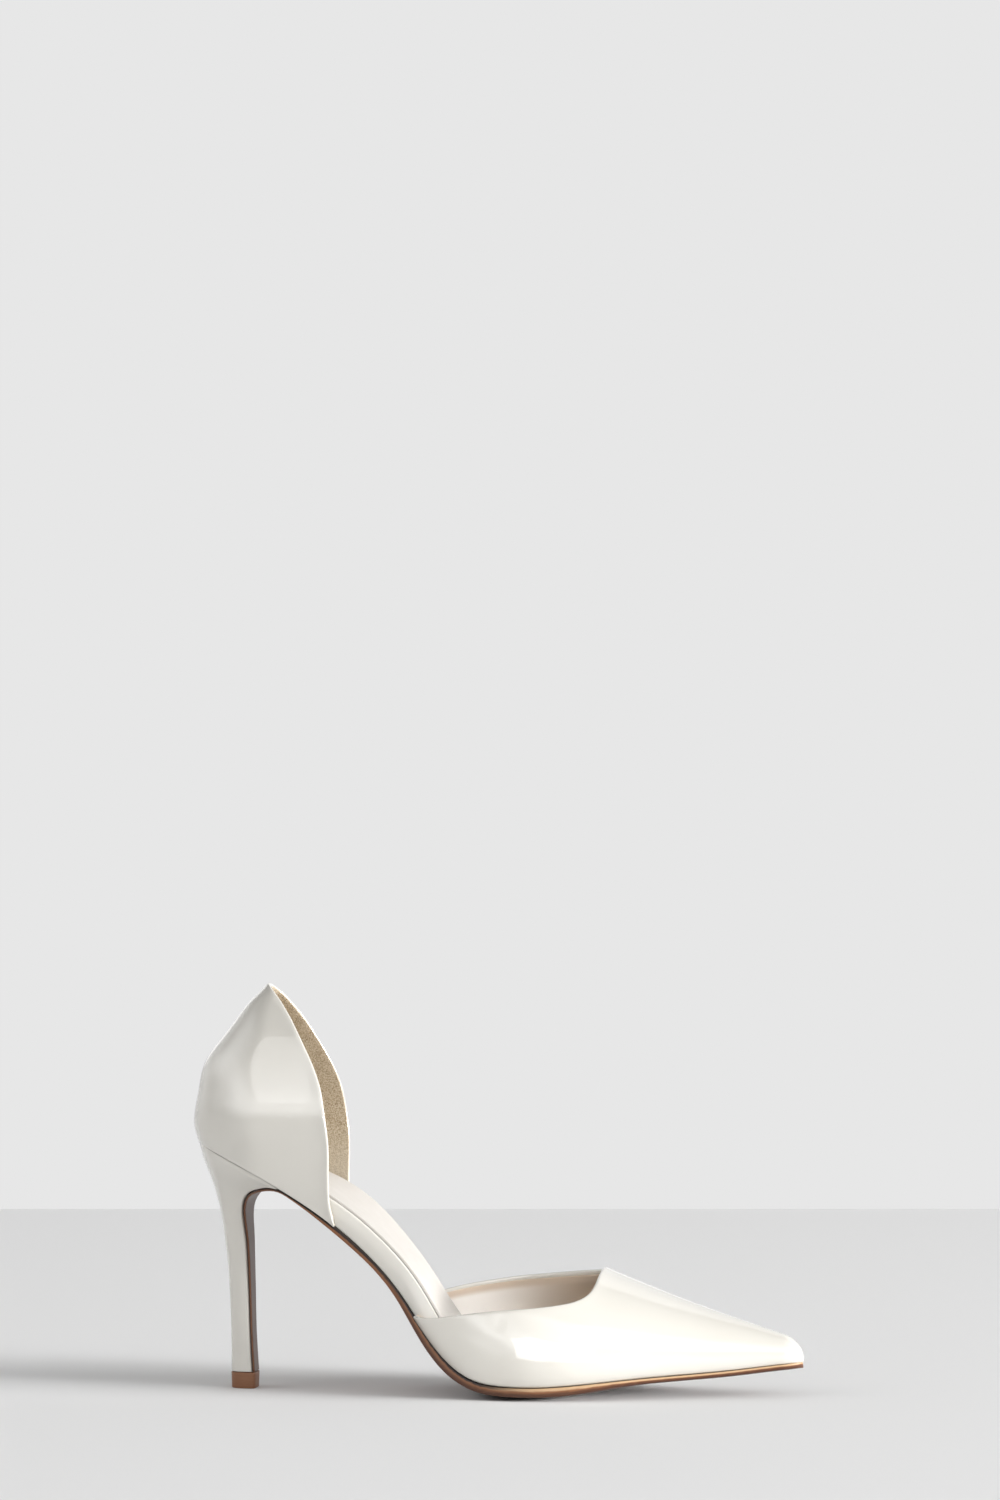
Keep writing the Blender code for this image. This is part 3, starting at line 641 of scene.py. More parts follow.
def vamp_face(side, behind, ahead, up, pull_top, pull_foot):
    """One side of the vamp's outer face in lines up the wall, to the folded edge as far as the throat and
    from there to the crest. The folded edge is drawn back square to itself, as it is seen from the side,
    and the foot along the lines. Returns the points and how far each lies from the folded edge."""
    row = THROAT_ROWS[-1][0] * np.sin(np.pi / 2 * np.linspace(0, 1, behind + 1))
    edge_x, edge_z = THROAT["x"](row), THROAT[side](row)
    run_x, run_z = np.gradient(edge_x, row), np.gradient(edge_z, row)
    size = np.hypot(run_x, run_z)
    wall = edge_z - feather_z(edge_x)
    pull = np.minimum(pull_top, TOP_LIMIT * wall)
    pulled_x = edge_x + pull * run_z / size
    pulled_z = edge_z - pull * run_x / size
    pulled_x[-1] = edge_x[-1] + pull_top
    nose = np.sin(np.pi / 2 * np.linspace(0, 1, ahead + 1))[1:]
    throat_foot = THROAT_ROWS[-1][1]
    foot = np.concatenate([THROAT["foot_x"](row), throat_foot + (LENGTH - throat_foot) * nose])
    edge = np.concatenate([pulled_x, pulled_x[-1] + (LENGTH - pulled_x[-1]) * nose])
    top = np.concatenate([vamp_share(pulled_x[:-1], pulled_z[:-1]), np.ones(ahead + 1)])
    length = np.concatenate([wall, wall[-1] + 0 * nose])
    low = np.minimum(pull_foot / length, FOOT_LIMIT)[:, None]
    step = low + (1 - low) * np.linspace(0, 1, up + 1)[None, :]
    points = vamp_point(foot[:, None] + (edge - foot)[:, None] * step, top[:, None] * step, side)
    fine_row = np.linspace(0, THROAT_ROWS[-1][0], BORDER_FINE * behind + 1)
    border = np.stack([THROAT["x"](fine_row), THROAT[side](fine_row)], axis=-1)
    gap = [np.linalg.norm(line[:, None, [0, 2]] - border[None], axis=-1).min(axis=-1) for line in points]
    return points, np.stack(gap)


def vamp_normals(lateral, medial, behind):
    """Outward directions on both sides of the vamp, averaged on the crest, forward at the toe's tip."""
    sides = [face_normal(lateral) * -1, face_normal(medial)]
    sides[0][-1] = sides[1][-1] = (1.0, 0.0, 0.0)
    middle = unit(sides[0][behind:, -1] + sides[1][behind:, -1])
    sides[0][behind:, -1] = middle
    sides[1][behind:, -1] = middle
    return sides


def joined(lateral, medial):
    """One line forward along the lateral side and back along the medial side from the same last point."""
    return np.concatenate([lateral, medial[-2::-1]])


def vamp_grids(outer, inner, behind, top_reach, foot_reach):
    """The grids of the vamp's wall, from the outer and inner faces of its two sides: the faces, the roll
    along the throat from wing to wing and the roll along the feather edge round the toe, with rings for the
    wing tips."""
    back = slice(behind + 1)
    height = np.linalg.norm(outer[0][:, -1] - outer[0][:, 0], axis=-1)
    throat = [joined(pair[0][back, -1], pair[1][back, -1]) for pair in (outer, inner)]
    beside = joined(outer[0][back, -BESIDE], outer[1][back, -BESIDE])
    beside[behind] = outer[0][behind + 1, -1]
    limit = TOP_LIMIT * height[back]
    roll = rolled_edge(*throat, beside, np.minimum(top_reach, joined(limit, limit))[:, None])
    feather = [joined(pair[0][:, 0], pair[1][:, 0]) for pair in (outer, inner)]
    above = joined(outer[0][:, 1], outer[1][:, 1])
    limit = FOOT_LIMIT * height
    turn = rolled_edge(*feather, above, np.minimum(foot_reach, joined(limit, limit))[:, None])
    tips = [
        np.concatenate([outer[i][0], roll[j, 1:], inner[i][0, -2::-1], turn[j, -2:0:-1]])
        for i, j in ((0, 0), (1, -1))
    ]
    return [*outer, *inner, roll, turn], tips


def crease_depth(points, side):
    """How far the creases draw in each point: each is its depth times a bell of the distance, seen from the
    side, from its line."""
    drawn = np.zeros(points.shape[:2])
    for where, x0, z0, x1, z1, width, depth in CREASES:
        if where == side:
            start, run = np.array([x0, z0]), np.array([x1 - x0, z1 - z0])
            from_start = points[..., [0, 2]] - start
            share = np.clip(from_start @ run / (run @ run), 0, 1)
            drawn += depth * np.exp(-np.sum((from_start - share[..., None] * run) ** 2, axis=-1) / width**2)
    return drawn


skins = [vamp_face(side, BEHIND, AHEAD, VAMP_UP, FOLD_REACH, FEATHER_REACH) for side in SIDES]
vamp_normal = vamp_normals(skins[0][0], skins[1][0], BEHIND)
vamp_outer = []
for (points, gap), normal, side in zip(skins, vamp_normal, SIDES):
    rise = FOLD_SWELL * np.exp(-((gap / FOLD_WIDTH) ** 2)) - crease_depth(points, side)
    vamp_outer.append(points + rise[..., None] * normal)
vamp_inner = [points - LEATHER_THICK * normal for (points, gap), normal in zip(skins, vamp_normal)]
grids, tips = vamp_grids(vamp_outer, vamp_inner, BEHIND, FOLD_REACH, FEATHER_REACH)
vamp = weld("vamp_leather", grids, patent, tips)
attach(vamp, "root")
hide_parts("vamp")


def eased(tree, value, low, high, start=0.0, end=1.0):
    """Goes smoothly from start, where the value is low, to end, where it is high."""
    inputs = {0: value, 1: low, 2: high, 3: start, 4: end}
    return node(tree, "ShaderNodeMapRange", inputs, interpolation_type="SMOOTHSTEP").outputs[0]


# Vamp lining: smooth finished kidskin. It gives the eye a soft, slightly satin skin with fine pores. It is
# pale at the wings and painted browner into the toe, a painted shade where the throat shades it, with a
# painted shadow of the fold: a darker band a few millimetres wide below it.
kid, tree, shader = new_finish("kid_lining_beige", Roughness=0.55, Specular_IOR_Level=0.35)
here = object_place(tree)
edge = node(tree, "ShaderNodeAttribute", {}, attribute_name="from_edge")
# Painted shadow of the fold: a darker band a few millimetres below the folded edge.
fold_shadow = eased(tree, edge.outputs["Fac"], *KID_FOLD_SHADOW_FADE, start=1.0, end=0.0)
place = node(tree, "ShaderNodeSeparateXYZ", {0: here})
# Painted shade: browner towards the throat, where the lining lies in shade.
painted_shade_share = eased(tree, place.outputs[0], *KID_PAINTED_SHADE_FROM)
skin = two_tone(tree, painted_shade_share, KID_PALE, KID_PAINTED_SHADE)
pores = node(tree, "ShaderNodeTexVoronoi", {"Vector": here, "Scale": per_mm(0.9)})
dress(tree, shader, two_tone(tree, fold_shadow, skin, KID_FOLD_SHADOW), bump(tree, pores, 0.35, 0.05))

kid_pull = FOLD_REACH + KID_SHORT
skins = [vamp_face(side, KID_BEHIND, KID_AHEAD, KID_UP, kid_pull, FEATHER_REACH) for side in SIDES]
kid_normal = vamp_normals(skins[0][0], skins[1][0], KID_BEHIND)
kid_faces = [
    [points - depth * normal for (points, gap), normal in zip(skins, kid_normal)]
    for depth in LINING_DEPTHS
]
grids, tips = vamp_grids(*kid_faces, KID_BEHIND, LINING_THICK / 2, LINING_THICK / 2)
below_fold = [gap for points, gap in skins]
marks = below_fold + below_fold + [0 * grids[4][..., 0], KID_FAR + 0 * grids[5][..., 0]]
vamp_lining = weld("vamp_lining", grids, kid, tips, "from_edge", marks)
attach(vamp_lining, "root")


# OUTSOLE. One thin strip of sole leather from the toe, under the arch and down the breast of the heel,
# cemented on. Its edge is trimmed square, rounded at both corners, and stained and waxed.

SOLE_GAP = 0.3
SOLE_CLOSE = 0.03
SOLE_BULGE = 0.1
SOLE_INSET = 0.5
SOLE_SHANK_INSET = 1.7
SHANK_BLEND = (56.0, 64.0, 82.0, 90.0)
SOLE_THICK_FRONT = 3.6
SOLE_THICK_TOE = 1.9
SOLE_THICK_SHANK = 2.4
SOLE_THICK_FLAP = 0.6
SOLE_FRONT_BLEND = (80.0, 100.0)
SOLE_TOE_BLEND = (142.0, 182.0)
SOLE_FLAP_BLEND = (36.0, 62.0)
SOLE_EDGE_THIN = 0.5
SOLE_TOP_ROUND = 0.45
SOLE_TREAD_ROUND = 1.1
FLAP_MARGIN = 0.4
FLAP_START = 3.5
SOLE_TIP = 0.06
SOLE_EVEN = 0.6
SOLE_PAINTED_GLINT = "#C9A883"
SOLE_COPPER = "#8F6040"
SOLE_BROWN = "#5B3A28"
SOLE_PAINTED_SHADOW = "#1E140F"
SOLE_KNOTS = 21
SOLE_STATIONS = 220
SOLE_UNEVEN = 0.3
# Colours of the edge by depth, from the upper corner at 0 to the tread at 1, and where one run of them gives
# way to the next, as x in metres from half way along the shoe. The black along the upper corner at the shank
# and ball is a painted shadow under the rim, the pale gold along the toe's upper corner is a painted
# highlight, and the darker brown towards the tread at the ball and toe is painted shade.
FLAP_EDGE = ((0.3, SOLE_BROWN), (0.55, SOLE_COPPER), (0.8, SOLE_BROWN))
SHANK_EDGE = ((0.3, SOLE_PAINTED_SHADOW), (0.6, SOLE_COPPER))
BALL_EDGE = ((0.1, SOLE_PAINTED_SHADOW), (0.28, SOLE_COPPER), (0.75, SOLE_BROWN))
TOE_EDGE = ((0.2, SOLE_PAINTED_GLINT), (0.42, SOLE_COPPER), (0.7, SOLE_BROWN))
SHANK_FROM = (-0.088, -0.078)
BALL_FROM = (-0.044, -0.028)
TOE_FROM = (-0.004, 0.020)

# The heel in slanting rings from the seat to the top piece: its back, its breast and its half width.
HEEL_COLUMNS = ("back_x", "back_z", "breast_x", "breast_z", "half_width")
HEEL_ROWS = (
    (1.9, 95.1, 37.0, 77.8, 24.0),
    (3.3, 89.4, 31.4, 78.3, 21.0),
    (5.0, 84.8, 26.4, 77.2, 17.6),
    (6.8, 80.0, 23.2, 75.6, 14.6),
    (8.4, 74.6, 21.0, 72.5, 11.8),
    (9.9, 68.6, 20.2, 67.8, 9.6),
    (11.2, 60.0, 20.8, 60.0, 7.6),
    (12.4, 50.0, 21.3, 50.0, 6.3),
    (13.3, 37.4, 21.7, 37.4, 5.6),
    (13.9, 22.0, 22.1, 22.0, 5.2),
    (14.1, 6.5, 23.0, 6.5, 5.3),
)
HEEL = {name: np.array(values) for name, values in zip(HEEL_COLUMNS, zip(*HEEL_ROWS))}


def sole_path():
    """The outsole's way from the toe to the top piece: centre line, half widths, thickness, edge lift."""
    x = np.linspace(LENGTH - SOLE_INSET, HEEL["breast_x"][0] + FLAP_START, SOLE_KNOTS)
    normal_x, normal_z = bottom_normal(x)
    under = blend(x, *SHANK_BLEND[:2]) - blend(x, *SHANK_BLEND[2:])
    inset = SOLE_INSET + (SOLE_SHANK_INSET - SOLE_INSET) * under
    front = SOLE_THICK_FRONT + (SOLE_THICK_TOE - SOLE_THICK_FRONT) * blend(x, *SOLE_TOE_BLEND)
    thick = SOLE_THICK_SHANK + (front - SOLE_THICK_SHANK) * blend(x, *SOLE_FRONT_BLEND)
    thick = SOLE_THICK_FLAP + (thick - SOLE_THICK_FLAP) * blend(x, *SOLE_FLAP_BLEND)
    fore = [x - SOLE_GAP * normal_x, LAST["bottom"](x) - SOLE_GAP * normal_z]
    fore += [LAST["lateral"](x) - inset, LAST["medial"](x) - inset, thick, LAST["lift"](x)]
    down_x, down_z = np.gradient(HEEL["breast_x"]), np.gradient(HEEL["breast_z"])
    size = np.hypot(down_x, down_z)
    flap_x = HEEL["breast_x"] - SOLE_GAP * down_z / size
    flap_z = HEEL["breast_z"] + SOLE_GAP * down_x / size
    width = HEEL["half_width"] - FLAP_MARGIN
    flap = [flap_x, flap_z, width, width, np.full_like(width, SOLE_THICK_FLAP), np.zeros_like(width)]
    return np.concatenate([np.array(fore), np.array(flap)], axis=1)


def sole_faces():
    """The strip's upper and under faces, carried along its way: each is square to the way, with lifted
    edges and rounded corners, and the under face is thinner towards its edges and flat where it meets the
    floor. Also how deep each point lies, as a share of the strip's thickness."""
    path = sole_path()
    run = np.concatenate([[0], np.cumsum(np.hypot(*np.diff(path[:2], axis=1)))])
    share = np.linspace(0, 1, SOLE_STATIONS)
    way = SOLE_TIP + (run[-1] - SOLE_TIP) * (SOLE_EVEN * share + (1 - SOLE_EVEN) * share**2)
    x, z, lateral, medial, thick, lift = (spline(run, values)(way)[:, None] for values in path)
    toe = rounding((LENGTH - SOLE_INSET - x) / TOE_ROUND, TOE_POWER)
    way_x, way_z = np.gradient(x[:, 0], way)[:, None], np.gradient(z[:, 0], way)[:, None]
    full = np.clip((thick - SOLE_THICK_FLAP) / (SOLE_THICK_SHANK - SOLE_THICK_FLAP), 0, 1)
    place, stand, fall = plate_edge(PLATE_FLAT, PLATE_ARC)
    width = np.where(place < 0, lateral * toe, medial * toe)

    def face(radius, depth, thin, turn):
        """One face at this depth below the way, its edges rounded down if turn is 1, up if it is -1."""
        radius = np.minimum(radius, ROUND_LIMIT * np.minimum(width, thick))
        across = place * (1 - radius / width * (1 - stand))
        rise = lift * across**2 - depth + thin * full * across**4 - turn * radius * fall
        points = np.stack([x + way_z * rise, across * width, z - way_x * rise], axis=-1)
        share = (depth + turn * radius * fall) / thick
        return points, np.stack([share, share, share], axis=-1)

    top, top_depth = face(SOLE_TOP_ROUND, SOLE_CLOSE - SOLE_GAP, 0.0, 1)
    under, under_depth = face(SOLE_TREAD_ROUND, thick, SOLE_EDGE_THIN, -1)
    under[..., 2] = np.maximum(under[..., 2], 0.0)
    return (top, under), (top_depth, under_depth)


# Sole leather, rolled and waxed: a satin copper brown. Its trimmed edge is inked: dark brown down the heel
# with copper at mid depth, and copper along the shank and at the ball. Painted shade darkens it: black by the
# upper along the shank, a thin black line along the upper corner at the ball, and dark below round the toe. A
# painted highlight makes it pale gold along the toe's upper corner. The wax gives the eye a soft gloss, the
# fibres fine streaks along the shoe.
sole_leather, tree, shader = new_finish(
    "waxed_sole_leather", Roughness=0.42, Coat_Weight=0.1, Coat_Roughness=0.25, Specular_IOR_Level=0.35
)
here = object_place(tree)
place = node(tree, "ShaderNodeSeparateXYZ", {0: here})
depth = node(tree, "ShaderNodeAttribute", {}, attribute_name="depth")
drawn_out = node(tree, "ShaderNodeMapping", {"Vector": here, "Scale": (0.15, 1.0, 1.0)}).outputs[0]
streak = noise(tree, drawn_out, 0.9, 3.0)
wander = {0: streak.outputs[0], 1: SOLE_UNEVEN, 2: -SOLE_UNEVEN / 2}
uneven = node(tree, "ShaderNodeMath", wander, operation="MULTIPLY_ADD")
uneven_depth = node(tree, "ShaderNodeMath", {0: depth.outputs["Fac"], 1: uneven.outputs[0]}, operation="ADD")
stain_and_painted_light = colour_ramp(tree, uneven_depth.outputs[0], FLAP_EDGE)
# The shank, ball and toe runs lay painted shade and a painted highlight over the inked edge.
for stops, reach in ((SHANK_EDGE, SHANK_FROM), (BALL_EDGE, BALL_FROM), (TOE_EDGE, TOE_FROM)):
    past = eased(tree, place.outputs[0], *reach)
    stain_and_painted_light = two_tone(tree, past, stain_and_painted_light, colour_ramp(tree, uneven_depth.outputs[0], stops))
dress(tree, shader, stain_and_painted_light, bump(tree, streak, 0.4, 0.04))

sole_points, sole_depths = sole_faces()
grids = plate_grids(*sole_points, SOLE_BULGE)
marks = [grid[..., 0] for grid in plate_grids(*sole_depths, 0.0)]
outsole = weld("outsole_strip", grids, sole_leather, (), "depth", marks)
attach(outsole, "root")
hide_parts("outsole")


# HEEL. A slim moulded core under the upper's patent leather, wrapped from the back and turned in at the
# breast, which runs forward in a thin tongue below the seat. It is screwed to the heel seat from inside.

HEEL_CLOSE = 0.03
HEEL_RING_ROUND = 0.8
HEEL_CORNER = 1.3
HEEL_CORNER_POWER = 3.5
HEEL_LEVELS = 90
HEEL_AROUND = 40


def heel_outline(around, length, width):
    """Once round a level of this length and half width, from the breast round the lateral side to the back
    and round the medial side again: the share of the way from back to breast, and y. Both ends are rounded
    like superellipses, the breast's corners tightly."""
    turn = np.linspace(-1, 1, 2 * around + 1)[None, :]
    share = (1 - np.cos(np.pi * np.abs(turn))) / 2
    corner = rounding((1 - share) * length / HEEL_CORNER, HEEL_CORNER_POWER)
    return share, np.sign(turn) * width * rounding(share / HEEL_RING_ROUND, HEEL_POWER) * corner


def heel_rings():
    """The heel in slanting rings from its seat, which follows the last's bottom, to its end."""
    run = np.concatenate([[0], np.cumsum(np.hypot(np.diff(HEEL["back_x"]), np.diff(HEEL["back_z"])))])
    down = np.linspace(0, run[-1], HEEL_LEVELS)
    ring = {name: spline(run, values)(down)[:, None] for name, values in HEEL.items()}
    ahead, rise = ring["breast_x"] - ring["back_x"], ring["breast_z"] - ring["back_z"]
    share, y = heel_outline(HEEL_AROUND, np.hypot(ahead, rise), ring["half_width"])
    x = ring["back_x"] + ahead * share
    z = ring["back_z"] + rise * share
    z[0] = LAST["bottom"](x[0]) - HEEL_CLOSE
    return np.stack([x, y, z], axis=-1)


def ring_grids(rings):
    """The side of a stack of rings and its two ends, each end spanned from side to side."""
    half = rings.shape[1] // 2
    ends = [np.stack([rings[i, half::-1], rings[i, half:]]) for i in (0, -1)]
    return [rings, *ends]


heel = weld("heel_covered", ring_grids(heel_rings()), patent)
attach(heel, "root")
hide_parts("heel")


# TOP PIECE. The lift under the heel that takes the wear: a small block of hard rubber, pinned into the
# heel's end, its edges just broken.

TOP_PIECE_HEIGHT = 6.2
TOP_PIECE_BACK = 14.0
TOP_PIECE_FRONT = 24.3
TOP_PIECE_HALF_WIDTH = 5.6
TOP_PIECE_TAPER = 0.2
TOP_PIECE_EDGE = 0.3
TOP_PIECE_AROUND = 32
TOP_PIECE_STEPS = 4
RUBBER_TAN = "#8E6142"
RUBBER_BROWN = "#7A4F33"


def top_piece_rings():
    """The lift in level rings: the heel's own outline, drawn in a little towards the floor, with both rims
    rounded by a quarter circle."""
    rim = np.linspace(0, np.pi / 2, TOP_PIECE_STEPS + 1)
    z = TOP_PIECE_EDGE * (1 - np.sin(rim))
    inset = TOP_PIECE_EDGE * (1 - np.cos(rim))
    z = np.concatenate([z[::-1], TOP_PIECE_HEIGHT - z])[:, None]
    inset = np.concatenate([inset[::-1], inset])[:, None] + TOP_PIECE_TAPER * (1 - z / TOP_PIECE_HEIGHT)
    length = TOP_PIECE_FRONT - TOP_PIECE_BACK - 2 * inset
    share, y = heel_outline(TOP_PIECE_AROUND, length, TOP_PIECE_HALF_WIDTH - inset)
    return np.stack([TOP_PIECE_BACK + inset + length * share, y, z + 0 * share], axis=-1)


# Hard rubber, moulded and sanded at the sides: a dull tan-brown, cloudy, with fine level scratches.
rubber, tree, shader = new_finish("hard_rubber_tan", Roughness=0.5)
here = object_place(tree)
level = node(tree, "ShaderNodeMapping", {"Vector": here, "Scale": (0.12, 0.12, 1.0)}).outputs[0]
scratch = noise(tree, level, 0.5, 3.0)
cloudy = two_tone(tree, scratch.outputs[0], RUBBER_BROWN, RUBBER_TAN)
dress(tree, shader, cloudy, bump(tree, scratch, 0.4, 0.04))

top_piece = weld("top_piece_rubber", ring_grids(top_piece_rings()), rubber)
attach(top_piece, "root")
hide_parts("top_piece")


# SOCK LINING. A thin matt lining leather with a skived edge, glued on the insole after lasting. It is cut a
# margin in from the rim and reaches to the lining inside the forepart. Its heel end is left bare.

SOCK_INSET = 1.3
SOCK_INSET_FRONT = -1.3
SOCK_FRONT_BLEND = (97.0, 112.0)
SOCK_LOW = 0.02
SOCK_TOP = 1.1
SOCK_EDGE = 0.5
SOCK_TOE_SHORT = 3.0
SOCK_ARC = 4
SOCK_SIDE_STEPS = 2
SOCK_WHITE = "#CAC6C1"
SOCK_SHADE = "#C1BCB5"

# Lining leather with a flat white coating: matt, with a fine printed grain about 0.8 mm across.
coated, tree, shader = new_finish("coated_lining_leather", Roughness=0.6, Specular_IOR_Level=0.35)
here = object_place(tree)
cloud = noise(tree, here, 6, 3.0)
flat_white = two_tone(tree, cloud.outputs[0], SOCK_WHITE, SOCK_SHADE)
pebble = node(tree, "ShaderNodeTexVoronoi", {"Vector": here, "Scale": per_mm(0.8)})
dress(tree, shader, flat_white, bump(tree, pebble, 0.4, 0.04))

sock_x = stations(HEEL_BACK + INSOLE_INSET + SOCK_INSET, LENGTH - INSOLE_TOE_SHORT - SOCK_TOE_SHORT)
sock_inset = INSOLE_INSET + SOCK_INSET + (SOCK_INSET_FRONT - SOCK_INSET) * blend(sock_x, *SOCK_FRONT_BLEND)
sock_thick = LAST["insole"](sock_x)[:, None]
sock_edge = plate_edge(PLATE_FLAT, SOCK_ARC)
sock_top = on_insole(sock_x, sock_inset, sock_edge, SOCK_EDGE, sock_thick + SOCK_TOP, 1.0, 1)
sock_foot = on_insole(sock_x, sock_inset, sock_edge, SOCK_LOW, sock_thick + SOCK_LOW, 1.0, -1)
sock = weld("sock_lining_bare", plate_grids(sock_top, sock_foot, 0.0, SOCK_SIDE_STEPS), coated)
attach(sock, "root")
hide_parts("sock_lining")


# STAGE. A pale, matt sheet of board under the shoe that ends behind it, in front of an even pale grey. A
# low key lamp stands at the toe with a twin for the floor alone, weaker soft lamps stand all round, and two
# sheets of light are only seen in reflections. A small card lights the forepart alone, and a snoot lights
# the back of the throat.

FLOOR_GREY = "#E4E4E4"
WALL_GREY = "#E7E7E7"
FLOOR_BACK = 0.855
FLOOR_NEAR = 4.0
FLOOR_SIDE = 5.0
AZIMUTH = np.radians(8.0)

right = np.array([np.cos(AZIMUTH), np.sin(AZIMUTH), 0.0])
back = np.array([-np.sin(AZIMUTH), np.cos(AZIMUTH), 0.0])
floor_points = [x * right + y * back for y in (-FLOOR_NEAR, FLOOR_BACK) for x in (-FLOOR_SIDE, FLOOR_SIDE)]
floor_mesh = bpy.data.meshes.new("floor")
floor_mesh.from_pydata(np.array(floor_points).tolist(), [], [(0, 1, 3, 2)])
board, tree, shader = new_finish(
    "matt_board_pale", Roughness=0.9, Base_Color=linear(FLOOR_GREY), Specular_IOR_Level=0.0
)
floor_mesh.materials.append(board)
floor = bpy.data.objects.new("floor", floor_mesh)
bpy.context.scene.collection.objects.link(floor)
floor_alone = bpy.data.collections.new("floor_alone")
floor_alone.objects.link(floor)

WALL_GLOW = 0.65
WALL_RISE = 0.35
AMBIENT = 0.17
world = bpy.data.worlds.new("even_grey")
bpy.context.scene.world = world
world.use_nodes = True
tree = world.node_tree
backdrop = tree.nodes["Background"]
seen = node(tree, "ShaderNodeLightPath", {}).outputs["Is Camera Ray"]
direction = node(tree, "ShaderNodeTexCoord", {}).outputs["Generated"]
height = node(tree, "ShaderNodeSeparateXYZ", {0: direction}).outputs[2]
glow = eased(tree, height, 0.0, WALL_RISE, WALL_GLOW, AMBIENT)
tree.links.new(two_tone(tree, seen, glow, WALL_GREY), backdrop.inputs["Color"])

LAMP_DISTANCE = 8.0
LAMP_RIM = 0.5


def soft_lamp(name, azimuth, elevation, width, height, radiance, softness, lights=True, receivers=None):
    """A flat lamp that faces the shoe: azimuth is counted from the toe's direction towards the lateral
    side, its width and height are the angles that it fills, and radiance is its brightness, which fades to
    nothing over this share of the way from its rim to its middle. A lamp that doesn't light is only seen in
    reflections, and one with receivers lights that collection alone."""
    turn, rise = np.radians(azimuth), np.radians(elevation)
    lamp = bpy.data.lights.new(name, "AREA")
    lamp.shape = "RECTANGLE"
    lamp.size = 2 * LAMP_DISTANCE * np.tan(np.radians(width / 2))
    lamp.size_y = 2 * LAMP_DISTANCE * np.tan(np.radians(height / 2))
    lamp.energy = np.pi * lamp.size * lamp.size_y * radiance
    if softness:
        lamp.use_nodes = True
        tree = lamp.node_tree
        spot = node(tree, "ShaderNodeNewGeometry", {}).outputs["Parametric"]
        reach = node(tree, "ShaderNodeVectorMath", {0: spot, 1: (0.5, 0.5, 0.0)}, operation="DISTANCE")
        fade = eased(tree, reach.outputs["Value"], LAMP_RIM, LAMP_RIM * (1 - softness))
        tree.links.new(fade, tree.nodes["Emission"].inputs["Strength"])
    holder = bpy.data.objects.new(name, lamp)
    ahead = np.array([np.cos(turn) * np.cos(rise), -np.sin(turn) * np.cos(rise), np.sin(rise)])
    holder.location = LAMP_DISTANCE * ahead
    holder.rotation_euler = (np.pi / 2 - rise, 0.0, np.pi / 2 - turn)
    holder.visible_camera = False
    holder.visible_diffuse = lights
    if receivers:
        holder.light_linking.receiver_collection = receivers
    bpy.context.scene.collection.objects.link(holder)


soft_lamp("key_lamp", 7.5, 9.5, 20.0, 9.0, 79.0, 0.0)
soft_lamp("floor_lamp", 17.0, 9.0, 12.0, 8.0, 90.0, 0.0, receivers=floor_alone)
soft_lamp("side_lamp", 15.0, 25.0, 45.0, 18.0, 2.8, 0.0)
soft_lamp("front_lamp", 58.0, 38.0, 80.0, 28.0, 0.9, 0.0)
soft_lamp("front_sheet", 58.0, 38.0, 80.0, 28.0, 0.4, 0.0, lights=False)
soft_lamp("camera_lamp", 106.0, 18.0, 60.0, 40.0, 0.2, 0.8)
soft_lamp("camera_sheet", 110.0, 18.0, 84.0, 42.0, 1.7, 0.95, lights=False)
soft_lamp("heel_lamp", 158.0, 31.0, 90.0, 52.0, 1.6, 0.9)
soft_lamp("left_lamp", 215.0, 20.0, 80.0, 40.0, 0.6, 0.7)
soft_lamp("back_lamp", 280.0, 28.0, 90.0, 45.0, 0.6, 0.0)

CARD_PLACE = np.array([0.085, -0.33, 0.085])
CARD_AIM = np.array([0.05, -0.035, 0.02])
CARD_SIZE = (0.30, 0.16)
CARD_RADIANCE = 2.2
SNOOT_PLACE = np.array([-0.03, -0.12, 0.20])
SNOOT_AIM = np.array([-0.004, 0.012, 0.018])
SNOOT_ANGLE = 13.0
SNOOT_WATTS = 4.2
SNOOT_RADIUS = 0.01


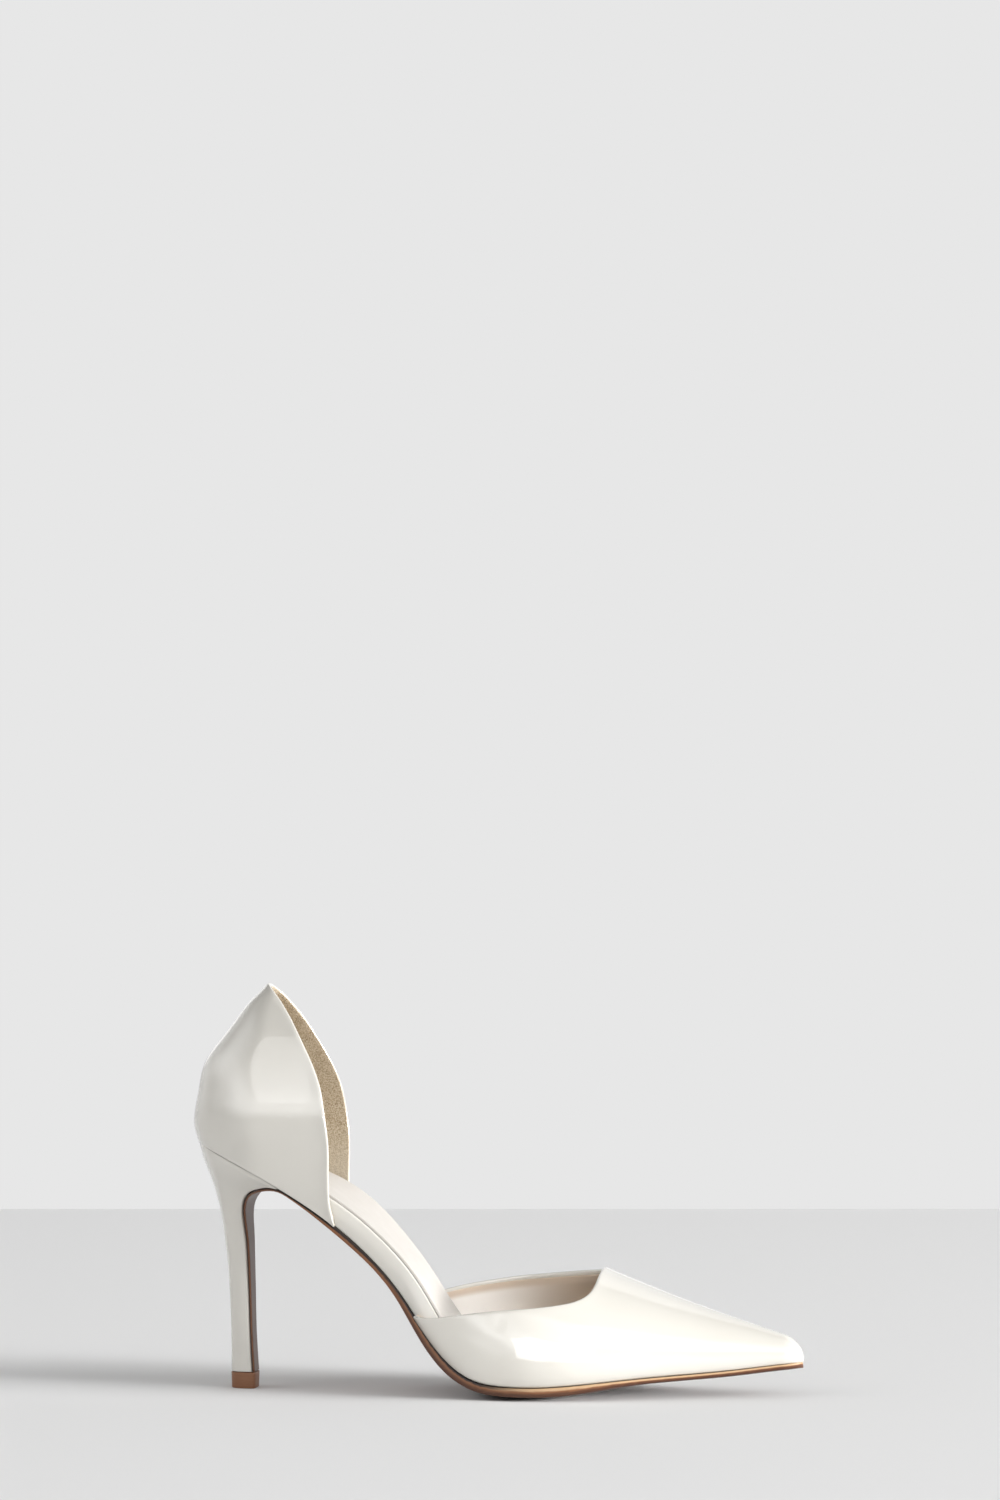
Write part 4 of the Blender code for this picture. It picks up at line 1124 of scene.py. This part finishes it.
def close_lamp(name, kind, place, aim, watts, pieces):
    """A lamp of this kind that stands at place, faces aim and lights these pieces alone. It tips up from
    facing straight down by the angle between its line to aim and the vertical, and turns by that line's
    direction on the floor."""
    lamp = bpy.data.lights.new(name, kind)
    lamp.energy = watts
    holder = bpy.data.objects.new(name, lamp)
    holder.location = place
    across, along, up = place - aim
    holder.rotation_euler = (np.arctan2(np.hypot(across, along), up), 0.0, np.arctan2(across, -along))
    holder.visible_camera = False
    bpy.context.scene.collection.objects.link(holder)
    lit = bpy.data.collections.new(name)
    for piece in pieces:
        lit.objects.link(piece)
    holder.light_linking.receiver_collection = lit
    return lamp


card_watts = np.pi * CARD_SIZE[0] * CARD_SIZE[1] * CARD_RADIANCE
card = close_lamp("card", "AREA", CARD_PLACE, CARD_AIM, card_watts, [vamp, vamp_lining])
card.shape = "RECTANGLE"
card.size, card.size_y = CARD_SIZE
snoot = close_lamp("snoot", "SPOT", SNOOT_PLACE, SNOOT_AIM, SNOOT_WATTS, [vamp_lining, sock])
snoot.spot_size = np.radians(SNOOT_ANGLE)
snoot.spot_blend = 1.0
snoot.shadow_soft_size = SNOOT_RADIUS


# CAMERA. A long lens at the photograph's angle: 8 degrees towards the toe, 4.5 degrees above the floor,
# aimed high so that the shoe stands low in a tall frame.

ELEVATION = np.radians(4.5)
DISTANCE = 2.5
FOCAL_PIXELS = 6500.0
FRAME_TALL = 1500.0
SENSOR = 36.0
MARK = np.array([0.00015, 0.0, 0.0772])
MARK_BELOW = 440.0
MARK_LEFT = 1.5

camera_data = bpy.data.cameras.new("camera")
camera_data.sensor_width = SENSOR
camera_data.lens = FOCAL_PIXELS / FRAME_TALL * SENSOR
camera = bpy.data.objects.new("camera", camera_data)
away = np.array(
    [np.sin(AZIMUTH) * np.cos(ELEVATION), -np.cos(AZIMUTH) * np.cos(ELEVATION), np.sin(ELEVATION)]
)
camera.location = MARK + DISTANCE * away
camera.rotation_euler = (
    np.pi / 2 - ELEVATION + np.arctan(MARK_BELOW / FOCAL_PIXELS),
    0.0,
    AZIMUTH - np.arctan(MARK_LEFT / FOCAL_PIXELS),
)
camera_data.clip_end = 100.0
bpy.context.scene.collection.objects.link(camera)
bpy.context.scene.camera = camera
bpy.context.scene.view_settings.view_transform = "Standard"
